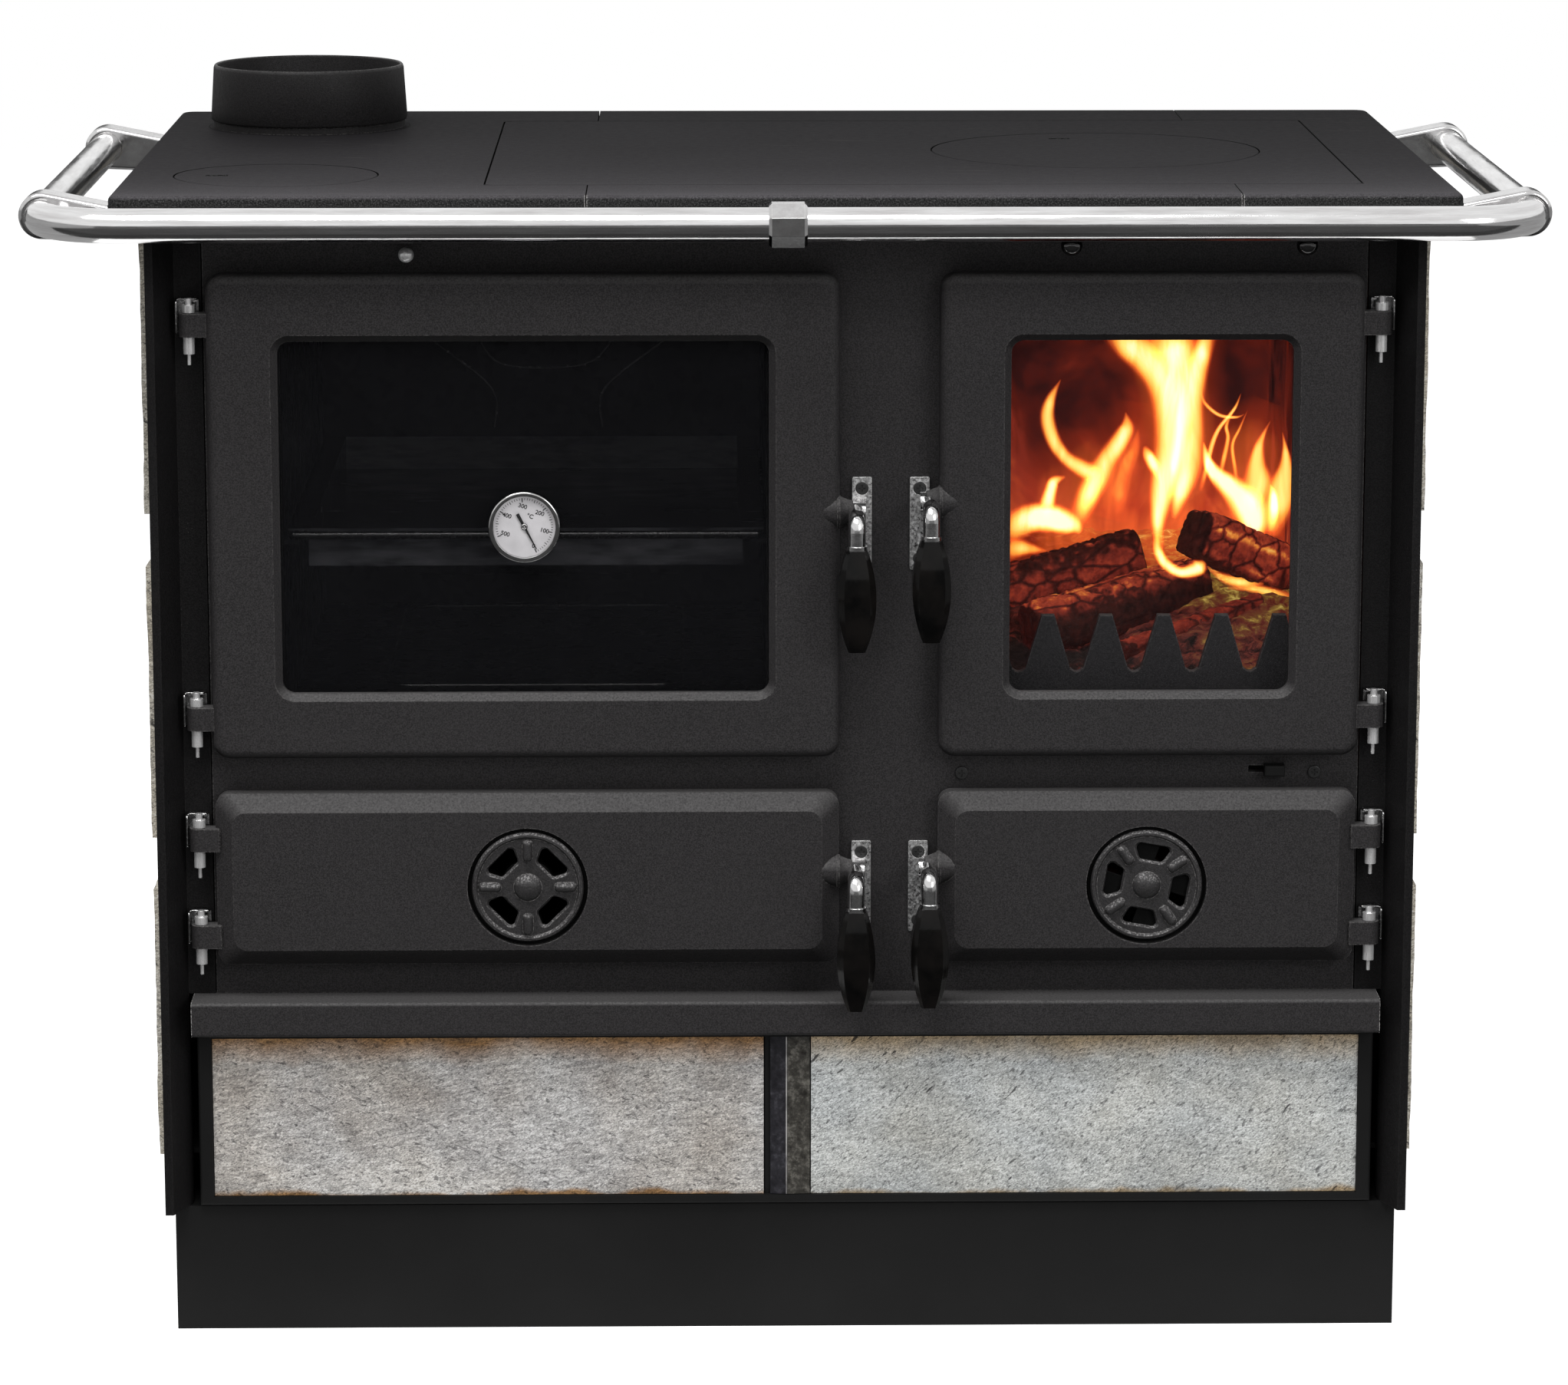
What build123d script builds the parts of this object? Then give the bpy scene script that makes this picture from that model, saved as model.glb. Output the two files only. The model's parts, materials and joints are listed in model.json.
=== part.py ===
from build123d import *
import os
from math import cos, radians, sin

# Wood cookstove: cast-iron hob, oven, firebox, ash door, wood drawer and hand rail.
#
# Millimetres, +Z up, the front faces -Y, and the origin is on the floor under the middle of the stove.
# Most places are given as X from the middle, a depth behind the hob's front edge, and Z from the floor.

# ---- overall sizes ----
HOB_WIDTH = 960.0
HOB_DEPTH = 600.0
HOB_HEIGHT = 850.0
SIDE_OVERHANG = 23.0
PLINTH_HEIGHT = 95.0
DRAWER_ZONE = 134.8
LEDGE_HEIGHT = 25.9
LOWER_DOOR_HEIGHT = 128.0
LEDGE_TO_DOOR = 25.1
DOOR_GAP = 27.0
DOOR_TO_HOB = 47.3

# ---- depths of the front faces, counted back from the hob's front edge ----
SIDE_FRONT = 25.0
DOOR_FRONT = 34.0
DOOR_BACK = 55.0
FRAME_FRONT = 56.0
FRAME_BACK = 66.0
PLINTH_FRONT = 50.0
BACK_INSET = 31.0

# ---- clearances ----
GAP = 0.3
SEAM = 0.8
LID_CLEARANCE = 0.5
RUNNING = 0.05
SOCKET_CLEARANCE = 0.1

# ---- hob ----
PLATE_THICKNESS = 14.0
SKIRT_HEIGHT = 30.0
SKIRT_WIDTH = 12.0
HOB_CORNER = 12.0
HOB_EDGE_ROUND = 4.5
RIM_THICKNESS = 10.0
RIM_LIP = 10.0
CENTRE_FRONT = 67.0
CENTRE_BACK_MARGIN = 86.0
CENTRE_LEFT_MARGIN = 264.0
CENTRE_RIGHT_MARGIN = 65.0
CENTRE_CORNER = 8.0
STRIP_LEFT_MARGIN = 337.5
STRIP_RIGHT_MARGIN = 157.0
BIG_LID_RADIUS = 124.0
BIG_LID_INSET = 177.0
BIG_LID_DEPTH = 295.0
SMALL_LID_RADIUS = 74.0
SMALL_LID_INSET = 110.0
SMALL_LID_DEPTH = 132.0
LID_STEP = 8.0
LID_RIM = 6.0
LID_BEVEL = 0.8
PLATE_BEVEL = 0.6
SLOT_RISE = 0.5
LIFT_SLOT = (16.0, 8.0, 5.0)
BIG_SLOT_OFFSET = (-22.0, 82.0)
SMALL_SLOT_OFFSET = (-43.0, 0.0)
FLUE_INSET = 111.0
FLUE_BACK_MARGIN = 116.0
COLLAR_RADIUS = 74.6
COLLAR_WALL = 4.0
COLLAR_BASE_RADIUS = 77.5
COLLAR_BASE_HEIGHT = 8.0
COLLAR_HEIGHT = 49.0
COLLAR_BASE_ROUND = 1.2
FLUE_HOLE_RADIUS = 68.0

# ---- hand rail ----
RAIL_RADIUS = 12.2
RAIL_BORE = 10.7
RAIL_BEND = 59.0
RAIL_STANDOFF = 49.0
RAIL_SIDE_STANDOFF = 47.0
RAIL_DROP = 15.0
BRACKET_RADIUS = 16.5
BRACKET_DEPTH = 28.0
BRACKET_FRONT = 8.0
REAR_BRACKET_FRONT = 458.0
BRACKET_ROOT_DROPS = (33.5, 7.5)
ARM_TANGENTS = (3.0, 10.0)
BRACKET_ROUND = 3.0
SOCKET_DEPTH = 7.0
CLAMP_HEIGHT = 31.0
CLAMP_WIDTH = 27.0
CLAMP_STEM_RADIUS = 8.0
CLAMP_BEVEL = 2.0

# ---- side panels and stone tiles ----
PANEL_THICKNESS = 8.0
FLANGE_WIDTH = 6.0
PILLAR_WIDTH = 18.0
COLUMN_WIDTH = 19.6
TILE_THICKNESS = 13.5
TILE_PROUD = 8.5
TILE_FIT = 0.4
TILE_ROWS = 3
TILE_BOTTOM_MARGIN = 34.0
TILE_TOP_MARGIN = 23.0
TILE_ROW_GAP = 39.0
TILE_FRONT = 70.0
TILE_BACK_MARGIN = 75.0
TILE_CORNER = 2.0
BACK_THICKNESS = 3.0
SHEET = 3.0
PLINTH_FLANGE = 30.0
PLINTH_SETBACK = 5.0

# ---- front frame ----
COLUMN_LEFT = 38.6
COLUMN_RIGHT = 110.8
DOOR_SIDE_MARGIN = 41.2
OPENING_LAP = 26.2
OPENING_CORNER = 10.0
LOWER_OPENING_LAP = 16.0
LEDGE_END_GAP = 3.0
LEDGE_ROUND = 3.0

# ---- doors ----
DOOR_CORNER = 12.0
DOOR_EDGE_ROUND = 7.5
PILLOW_INSET = 12.5
PILLOW_DEPTH = 9.0
WINDOW_SIDE_MARGIN = 51.0
WINDOW_TOP_MARGIN = 47.7
WINDOW_BOTTOM_MARGIN = 48.2
WINDOW_CORNER = 9.0
WINDOW_CHAMFER = 5.0
GLASS_FRONT = 44.0
GLASS_THICKNESS = 4.0
GLASS_LAP = 12.0
GLASS_FIT = 1.5
CLIP_SIZE = (34.0, 18.0, 2.0)
CLIP_SCREW_RADIUS = 4.0
SEAL_INSET = 14.0
SEAL_WIDTH = 7.0
SEAL_DEPTH = 4.0

# ---- hinges ----
PIN_DEPTH = 45.0
PIN_OUT = 12.2
PIN_RADIUS = 2.5
LUG_RADIUS = 7.0
LUG_HEIGHT = 17.0
BUSH_RADIUS = 4.1
BUSH_LENGTH = 12.3
TIP_RADIUS = 1.35
TIP_LENGTH = 8.0
WASHER_RADIUS = 4.8
BRACKET_TAB = 4.0
BRACKET_LIFT = 10.0
BRACKET_LEG = 25.6
BRACKET_HALF_WIDTH = 7.3
BRACKET_THICKNESS = 2.7
PIN_PROUD = 0.6
UPPER_HINGES = (29.0, 36.0)
LOWER_HINGES = (21.4, 34.0)

# ---- door handles ----
PIVOT_DEPTH = 42.0
SPINDLE_RADIUS = 5.0
SPINDLE_BURIED = 22.0
BOSS_RADIUS = 12.5
BOSS_TIP_RADIUS = 4.0
BOSS_LENGTH = 24.0
LEFT_HANDLE_OFFSET = 11.7
RIGHT_HANDLE_OFFSET = 7.0
HUB_RADIUS = 7.5
HUB_LENGTH = 14.0
ARM_RADIUS = 6.2
ARM_BEND = 9.0
GRIP_CENTRE_DEPTH = 8.0
GRIP_DROP = 22.0
GRIP_LENGTH = 74.0
GRIP_WIDTH = 27.6
GRIP_TOP_WIDTH = 15.0
GRIP_END_WIDTH = 12.0
GRIP_WIDEST = 0.47
GRIP_BEVEL = 1.19
FERRULE_RADIUS = 7.4
FERRULE_HEIGHT = 3.0
NOSE_REACH = 11.2
NOSE_HALF_HEIGHT = 4.5
NOSE_WIDTH = 9.0
HANDLE_LIFT = {"oven": 3.75, "firebox": 10.75, "lower_left": 5.0, "ash": 7.5}

# ---- strike plates and screws ----
STRIKE_WIDTH = 14.2
STRIKE_HEIGHT = 68.0
STRIKE_THICKNESS = 2.5
STRIKE_OUTS = (9.4, 6.8)
STRIKE_DROPS = (6.8, 9.1)
STRIKE_CORNER = 1.2
STRIKE_SCREW_SPACING = 51.5
SCREW_HEAD_RADIUS = 4.7
SCREW_HEAD_HEIGHT = 1.8
SCREW_SHANK_RADIUS = 2.2
SCREW_LENGTH = 9.0
SCREW_PROUD = 0.4
SCREW_ROUND = 0.6
FRAME_SCREW_INSETS = (17.8, 29.0)
FRAME_SCREW_DROP = 2.3
CROSS_SIZE = (5.0, 1.2, 1.0)

# ---- thermometer ----
THERMOMETER_DROP = 4.8
BEZEL_RADIUS = 26.0
BEZEL_FRONT = 29.0
BEZEL_BACK = 35.0
BEZEL_ROUND = 1.6
CASE_RADIUS = 24.0
DIAL_RADIUS = 22.4
DIAL_DEPTH = 33.0
DIAL_THICKNESS = 1.0
LENS_DEPTH = 29.6
LENS_THICKNESS = 1.4
STEM_RADIUS = 4.0
STEM_END = 62.0
NEEDLE_DEPTH = 31.6
NEEDLE_THICKNESS = 0.8
NEEDLE_TIP = 18.5
NEEDLE_TAIL = 10.5
NEEDLE_ANGLE = -62.0
NEEDLE_HALF_WIDTHS = (1.2, 0.9, 0.25)
NEEDLE_HUB_RADIUS = 2.4
NEEDLE_PIVOT_RADIUS = 0.5

# ---- air wheels ----
WHEEL_RADIUS = 40.0
RECESS_RADIUS = 44.0
RECESS_DEPTH = 5.0
WHEEL_THICKNESS = 4.0
WINDOW_INNER = 19.3
WINDOW_OUTER = 32.5
WINDOW_ANGLE = 52.0
RIB_LENGTH = (18.0, 37.0)
RIB_WIDTH = 8.4
RIB_HEIGHT = 4.0
RIB_ROUND = 1.5
WHEEL_ROUND = 2.5
DOME_RADIUS = 9.5
DOME_HEIGHT = 6.0
DOME_ROUND = 4.5
WHEEL_PIVOT_RADIUS = 4.0
WHEEL_PIVOT_LENGTH = 14.0
WHEEL_DROP = 4.7
WHEEL_TURN = {"lower_left": 0.0, "ash": 35.0}

# ---- pull knobs and the air lever ----
DAMPER_INSET = 185.7
DAMPER_DROP = 46.2
DAMPER_BALL = 5.6
DAMPER_BALL_DEPTH = 36.0
DAMPER_ROD_RADIUS = 3.0
DAMPER_ROD_END = 300.0
DAMPER_GATE = (80.0, 3.0, 44.0)
AIR_PULL_INSETS = (254.0, 86.0)
AIR_PULL_DROP = 38.5
AIR_BALL = 7.7
AIR_BALL_DEPTH = 22.0
AIR_ROD_RADIUS = 3.5
AIR_ROD_END = 110.0
AIR_GATE = (40.0, 2.0, 26.0)
LEVER_INSET = 100.0
LEVER_TAB = (15.0, 9.0, 8.3)
LEVER_STEM = (5.0, 4.0)
LEVER_TRAVEL = 15.0
LEVER_ROUND = 1.5
LEVER_SLOT_PLAY = (1.0, 0.5)
SHUTTER_SIZE = (56.0, 2.0, 16.0)

# ---- oven ----
OVEN_WALL = 4.0
OVEN_SIDE_LAP = 51.8
OVEN_LAP_RIGHT = 52.6
OVEN_VERTICAL_LAP = 25.5
OVEN_BACK_MARGIN = 84.0
RUNNER_SIZE = (10.0, 3.0)
RUNNER_RISE = 126.7
RUNNER_START = 6.0
RACK_ROD = 3.0
RACK_SIDE_CLEARANCE = 3.0
RACK_FRONT = 71.0
TRAY_CLEARANCE = 8.0
TRAY_END_CLEARANCE = 1.5
TRAY_DEPTH = 26.0
TRAY_WALL = 1.5
TRAY_RIM = 7.0
CEILING_RIB = (150.0, 5.0, 2.0)
CEILING_RIB_ANGLES = (38, 142, 218, 322)
CEILING_RIB_SHIFT = 108.0
BACK_RIB_SIDE = 55.0
BACK_RIB_RISE = 18.0
BACK_RIB_DROP = 22.0
BACK_RIB_WIDTH = 5.0
BACK_RIB_HEIGHT = 2.0
BACK_RIB_CORNER = 8.0

# ---- firebox and ash chamber ----
BRICK_SIDE = 28.0
BRICK_BACK = 30.0
BRICK_FRONT = 70.0
FIREBOX_BACK_MARGIN = 90.0
FLOOR_THICKNESS = 28.0
BRICK_TOP_MARGIN = 116.0
GRATE_HOLE = (130.0, 220.0)
GRATE_REBATE = 8.0
GRATE_THICKNESS = 10.0
GRATE_SLOTS = 7
GRATE_SLOT_END = 6.0
GUARD_THICKNESS = 8.0
GUARD_CLEARANCE = 1.0
GUARD_BODY = 54.0
TOOTH_HEIGHT = 42.0
TOOTH_PITCH = 42.3
TOOTH_TOP = 9.4
TOOTH_VALLEY = 9.4
VALLEY_RISE = 2.0
FIRST_TOOTH = 4.6
ASH_WALL = 2.0
ASH_BACK_MARGIN = 120.0
LEFT_BOX_BACK_MARGIN = 180.0
PAN_CLEARANCE = 24.0
PAN_HEIGHT = 50.0
PAN_WALL = 1.5
PAN_FRONT = 90.0
PAN_HANDLE = (44.0, 12.0, 8.0)
PAN_HANDLE_WALL = 5.0
PAN_HANDLE_DROP = 6.0

# ---- wood drawer ----
DRAWER_SIDE_MARGIN = 24.0
DRAWER_FRONT = 45.0
DRAWER_FRONT_THICKNESS = 12.0
DRAWER_CLEARANCE = 1.5
DRAWER_STRIP = 10.8
DRAWER_TOP_STRIP = 4.8
DRAWER_BOTTOM_STRIP = 6.9
DRAWER_POST = (-16.0, 18.0)
DRAWER_TILE_RECESS = 2.0
DRAWER_TILE_ROUND = 0.8
DRAWER_FRONT_ROUND = 2.0
CENTRE_STRIP = (-12.0, 18.0)
CENTRE_STRIP_THICKNESS = 3.0
CENTRE_STRIP_BEVEL = 1.0
CENTRE_SEAM_X = 1.2
DRAWER_WALL = 1.5
DRAWER_BOX_SIDE = 37.0
DRAWER_BOX_BACK_MARGIN = 100.0
DRAWER_BOX_BOTTOM = 10.0
DRAWER_BOX_HEIGHT = 96.0
DRAWER_RAIL_WIDTH = 14.0
DRAWER_RAIL_HEIGHT = 14.0
DRAWER_RAIL_START = 3.0
SHELF_WIDTH = 23.0
SHELF_START = 4.0
SHELF_THICKNESS = 4.0
SHELF_HEIGHT = 35.0

# ---- places worked out from the sizes above ----
RAIL_PROJECTION = RAIL_STANDOFF + CLAMP_HEIGHT / 2
FRONT_Y = -(HOB_DEPTH - RAIL_PROJECTION) / 2
HOB_HALF = HOB_WIDTH / 2
BODY_HALF = HOB_HALF - SIDE_OVERHANG
PANEL_INNER = BODY_HALF - PANEL_THICKNESS
PLATE_UNDER = HOB_HEIGHT - PLATE_THICKNESS
SKIRT_BOTTOM = HOB_HEIGHT - SKIRT_HEIGHT
CENTRE_LEFT = -HOB_HALF + CENTRE_LEFT_MARGIN
CENTRE_RIGHT = HOB_HALF - CENTRE_RIGHT_MARGIN
CENTRE_BACK = HOB_DEPTH - CENTRE_BACK_MARGIN
RIM_UNDER = HOB_HEIGHT - RIM_THICKNESS
BIG_LID_X = CENTRE_RIGHT - BIG_LID_INSET
SMALL_LID_X = -HOB_HALF + SMALL_LID_INSET
FLUE_X = -HOB_HALF + FLUE_INSET
FLUE_DEPTH = HOB_DEPTH - FLUE_BACK_MARGIN
RAIL_Z = HOB_HEIGHT - RAIL_DROP
RAIL_SIDE_X = HOB_HALF + RAIL_SIDE_STANDOFF
COLUMN_OUT = BODY_HALF - PILLAR_WIDTH
FRAME_HALF = COLUMN_OUT - COLUMN_WIDTH - SEAM
BACK_FRONT = HOB_DEPTH - BACK_INSET - BACK_THICKNESS
LEDGE_BOTTOM = PLINTH_HEIGHT + DRAWER_ZONE
LEDGE_TOP = LEDGE_BOTTOM + LEDGE_HEIGHT
LOWER_BOTTOM = LEDGE_TOP + LEDGE_TO_DOOR
LOWER_TOP = LOWER_BOTTOM + LOWER_DOOR_HEIGHT
UPPER_BOTTOM = LOWER_TOP + DOOR_GAP
UPPER_TOP = PLATE_UNDER - DOOR_TO_HOB
DOOR_EDGE = BODY_HALF - DOOR_SIDE_MARGIN
PIN_X = DOOR_EDGE + PIN_OUT
LEFT_DOOR = (-DOOR_EDGE, COLUMN_LEFT)
RIGHT_DOOR = (COLUMN_RIGHT, DOOR_EDGE)
UPPER_Z = (UPPER_BOTTOM, UPPER_TOP)
LOWER_Z = (LOWER_BOTTOM, LOWER_TOP)
OVEN_X = (LEFT_DOOR[0] + OVEN_SIDE_LAP, LEFT_DOOR[1] - OVEN_LAP_RIGHT)
OVEN_Z = (UPPER_BOTTOM + OVEN_VERTICAL_LAP, UPPER_TOP - OVEN_VERTICAL_LAP)
OVEN_BACK = HOB_DEPTH - OVEN_BACK_MARGIN
FIRE_X = (COLUMN_RIGHT + OPENING_LAP + SEAL_WIDTH, DOOR_EDGE - OPENING_LAP)
LEFT_BOX_X = (LEFT_DOOR[0] + LOWER_OPENING_LAP, LEFT_DOOR[1] - LOWER_OPENING_LAP)
ASH_X = (RIGHT_DOOR[0] + LOWER_OPENING_LAP, RIGHT_DOOR[1] - LOWER_OPENING_LAP)
LOWER_OPENING_Z = (LOWER_BOTTOM + LOWER_OPENING_LAP, LOWER_TOP - LOWER_OPENING_LAP)
ASH_CEILING = UPPER_BOTTOM - FLOOR_THICKNESS + ASH_WALL
FLOOR_TOP = ASH_CEILING + FLOOR_THICKNESS
FIRE_Z = (FLOOR_TOP, UPPER_TOP - OVEN_VERTICAL_LAP)
FIRE_BACK = HOB_DEPTH - FIREBOX_BACK_MARGIN
BRICK_TOP = PLATE_UNDER - BRICK_TOP_MARGIN
MID_GAP_Z = (LOWER_TOP + UPPER_BOTTOM) / 2
LEVER_X = BODY_HALF - LEVER_INSET
RUNNER_Z = OVEN_Z[0] + RUNNER_RISE


# ---- helpers ----
def middle(span):
    return (span[0] + span[1]) / 2


def width(span):
    return span[1] - span[0]


def inset(span, amount):
    """A span made shorter by an amount at both ends, or longer if it is negative."""
    return (span[0] + amount, span[1] - amount)


def block(x_span, depth_span, z_span):
    """A box between two corners."""
    centre = Pos(middle(x_span), FRONT_Y + middle(depth_span), middle(z_span))
    return centre * Box(width(x_span), width(depth_span), width(z_span))


def box_at(x, depth, z, size):
    """A box of a given size about a centre."""
    return Pos(x, FRONT_Y + depth, z) * Box(*size)


def front_plane(x, depth, z):
    """A plane that faces the front, with its own X to the right and its own Y up."""
    return Plane(origin=(x, FRONT_Y + depth, z), x_dir=(1, 0, 0), z_dir=(0, -1, 0))


def slab(x_span, depth_span, z_span, corner):
    """An upright plate with round corners."""
    outline = RectangleRounded(width(x_span), width(z_span), corner)
    back = front_plane(middle(x_span), depth_span[1], middle(z_span))
    return extrude(back * outline, width(depth_span))


def floor_slab(x_span, depth_span, z_span, corner):
    """A flat plate with round corners, lying level."""
    outline = RectangleRounded(width(x_span), width(depth_span), corner)
    base = Plane(origin=(middle(x_span), FRONT_Y + middle(depth_span), z_span[0]))
    return extrude(base * outline, width(z_span))


def rod_x(x_span, depth, z, radius):
    return Pos(middle(x_span), FRONT_Y + depth, z) * Rot(0, 90, 0) * Cylinder(radius, width(x_span))


def rod_y(x, depth_span, z, radius):
    return Pos(x, FRONT_Y + middle(depth_span), z) * Rot(90, 0, 0) * Cylinder(radius, width(depth_span))


def rod_z(x, depth, z_span, radius):
    return Pos(x, FRONT_Y + depth, middle(z_span)) * Cylinder(radius, width(z_span))


def ball(x, depth, z, radius):
    return Pos(x, FRONT_Y + depth, z) * Sphere(radius)


def mirrored(shape):
    """The same shape on the other side of the stove."""
    return mirror(shape, about=Plane.YZ)


def open_box(x_span, depth_span, z_span, wall, open_face):
    """A thin-walled box that is open at its front, or at its top."""
    outer = block(x_span, depth_span, z_span)
    if open_face == "front":
        depth_span = (depth_span[0] - wall, depth_span[1] - wall)
        hollow = block(inset(x_span, wall), depth_span, inset(z_span, wall))
    else:
        z_span = (z_span[0] + wall, z_span[1] + wall)
        hollow = block(inset(x_span, wall), inset(depth_span, wall), z_span)
    return outer - hollow


def ring_plate(x_span, depth_span, z_span, corner, ring_width):
    """An upright rectangular ring."""
    inner = slab(inset(x_span, ring_width), inset(depth_span, -1), inset(z_span, ring_width), corner)
    return slab(x_span, depth_span, z_span, corner + ring_width) - inner


def sectors(x, z, depth_span, turn):
    """Four ring sectors about an axis that points at the front: the windows of an air wheel."""
    ring = Circle(WINDOW_OUTER) - Circle(WINDOW_INNER)
    reach = 2 * WINDOW_OUTER
    plane = front_plane(x, depth_span[1], z)
    windows = []
    for quarter in range(4):
        start = radians(45 + turn + 90 * quarter - WINDOW_ANGLE / 2)
        end = radians(45 + turn + 90 * quarter + WINDOW_ANGLE / 2)
        wedge = Polygon(
            (0, 0),
            (reach * cos(start), reach * sin(start)),
            (reach * cos(end), reach * sin(end)),
            align=None,
        )
        windows.append(extrude(plane * (ring & wedge), width(depth_span)))
    return windows


# ---- plinth and carcass ----
def make_plinth():
    x_span = inset((-BODY_HALF, BODY_HALF), PLINTH_SETBACK)
    depth_span = (PLINTH_FRONT, BACK_FRONT + BACK_THICKNESS)
    z_span = (0, PLINTH_HEIGHT)
    body = block(x_span, depth_span, z_span)
    body -= block(inset(x_span, SHEET), inset(depth_span, SHEET), inset(z_span, SHEET))
    opening = block(inset(x_span, PLINTH_FLANGE), inset(depth_span, PLINTH_FLANGE), (-1, SHEET + 1))
    return body - opening


def tile_rows():
    low = PLINTH_HEIGHT + TILE_BOTTOM_MARGIN
    high = PLATE_UNDER - TILE_TOP_MARGIN
    height = (high - low - (TILE_ROWS - 1) * TILE_ROW_GAP) / TILE_ROWS
    starts = [low + row * (height + TILE_ROW_GAP) for row in range(TILE_ROWS)]
    return [(start, start + height) for start in starts]


def side_tile_depths():
    return (TILE_FRONT, HOB_DEPTH - TILE_BACK_MARGIN)


def make_side_panel():
    back = BACK_FRONT + BACK_THICKNESS
    outline = Polygon(
        (BODY_HALF, SIDE_FRONT),
        (BODY_HALF, back),
        (PANEL_INNER, back),
        (PANEL_INNER, FRAME_BACK),
        (COLUMN_OUT, FRAME_BACK),
        (COLUMN_OUT, FRAME_FRONT),
        (BODY_HALF - FLANGE_WIDTH, SIDE_FRONT),
        align=None,
    )
    base = Plane(origin=(0, FRONT_Y, PLINTH_HEIGHT))
    panel = extrude(base * outline, PLATE_UNDER - PLINTH_HEIGHT)
    column_x = (COLUMN_OUT - COLUMN_WIDTH, COLUMN_OUT)
    panel += block(column_x, (FRAME_FRONT, FRAME_BACK), (LEDGE_TOP, PLATE_UNDER))
    pocket_x = (BODY_HALF - (TILE_THICKNESS - TILE_PROUD), BODY_HALF + 1)
    for z_span in tile_rows():
        panel -= block(pocket_x, inset(side_tile_depths(), -TILE_FIT), inset(z_span, -TILE_FIT))
    return panel


def make_side_tiles():
    x_span = (BODY_HALF - (TILE_THICKNESS - TILE_PROUD), BODY_HALF + TILE_PROUD)
    tiles = []
    for z_span in tile_rows():
        tile = block(x_span, side_tile_depths(), z_span)
        outer_edges = tile.faces().sort_by(Axis.X)[-1].edges()
        tiles.append(fillet(outer_edges, TILE_CORNER))
    return tiles


def make_back_panel():
    depth_span = (BACK_FRONT, BACK_FRONT + BACK_THICKNESS)
    return block((-PANEL_INNER, PANEL_INNER), depth_span, (PLINTH_HEIGHT, PLATE_UNDER))


def strike_places():
    """Centre X and Z of each strike plate, beside the door edges of the middle column."""
    left = COLUMN_LEFT + STRIKE_OUTS[0] + STRIKE_WIDTH / 2
    right = COLUMN_RIGHT - STRIKE_OUTS[1] - STRIKE_WIDTH / 2
    upper = middle(UPPER_Z) - STRIKE_DROPS[0]
    lower = middle(LOWER_Z) - STRIKE_DROPS[1]
    return [(x, z) for x in (left, right) for z in (upper, lower)]


def screw_places():
    """X, head-front depth and Z of every cross-head screw in the front frame."""
    places = []
    for x, z in strike_places():
        for side in (-1, 1):
            front = FRAME_FRONT - STRIKE_THICKNESS - SCREW_PROUD
            places.append((x, front, z + side * STRIKE_SCREW_SPACING / 2))
    for x in (COLUMN_RIGHT + FRAME_SCREW_INSETS[0], DOOR_EDGE - FRAME_SCREW_INSETS[1]):
        places.append((x, FRAME_FRONT - SCREW_HEAD_HEIGHT, MID_GAP_Z - FRAME_SCREW_DROP))
    return places


def make_front_frame():
    depth = (FRAME_FRONT, FRAME_BACK)
    through = inset(depth, -1)
    frame = block((-FRAME_HALF, FRAME_HALF), depth, (LEDGE_TOP, PLATE_UNDER))
    frame -= slab(OVEN_X, through, OVEN_Z, OPENING_CORNER)
    frame -= slab(FIRE_X, through, FIRE_Z, OPENING_CORNER)
    frame -= slab(LEFT_BOX_X, through, LOWER_OPENING_Z, OPENING_CORNER)
    frame -= slab(ASH_X, through, LOWER_OPENING_Z, OPENING_CORNER)
    for x, _, z in screw_places():
        frame -= rod_y(x, through, z, SCREW_SHANK_RADIUS + RUNNING)
    damper_x, damper_z = damper_place()
    frame -= rod_y(damper_x, through, damper_z, DAMPER_ROD_RADIUS + RUNNING)
    for x in air_pull_places():
        frame -= rod_y(x, through, air_pull_height(), AIR_ROD_RADIUS + RUNNING)
    half_length = LEVER_STEM[0] / 2 + LEVER_SLOT_PLAY[0]
    half_height = LEVER_STEM[1] / 2 + LEVER_SLOT_PLAY[1]
    slot_x = (LEVER_X - half_length - LEVER_TRAVEL, LEVER_X + half_length)
    return frame - block(slot_x, through, (MID_GAP_Z - half_height, MID_GAP_Z + half_height))


def make_ledge():
    half = FRAME_HALF + COLUMN_WIDTH - LEDGE_END_GAP
    ledge = block((-half, half), (SIDE_FRONT, FRAME_BACK), (LEDGE_BOTTOM, LEDGE_TOP))
    front_edges = ledge.faces().sort_by(Axis.Y)[0].edges().filter_by(Axis.X)
    return fillet(front_edges, LEDGE_ROUND)


def make_strike_plates():
    plates = []
    for x, z in strike_places():
        x_span = (x - STRIKE_WIDTH / 2, x + STRIKE_WIDTH / 2)
        depth = (FRAME_FRONT - STRIKE_THICKNESS, FRAME_FRONT)
        plate = slab(x_span, depth, (z - STRIKE_HEIGHT / 2, z + STRIKE_HEIGHT / 2), STRIKE_CORNER)
        for side in (-1, 1):
            screw_z = z + side * STRIKE_SCREW_SPACING / 2
            plate -= rod_y(x, inset(depth, -1), screw_z, SCREW_SHANK_RADIUS + RUNNING)
            sunk = (depth[0] - 1, depth[0] - SCREW_PROUD + SCREW_HEAD_HEIGHT)
            plate -= rod_y(x, sunk, screw_z, SCREW_HEAD_RADIUS + RUNNING)
        plates.append(plate)
    return plates


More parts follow.
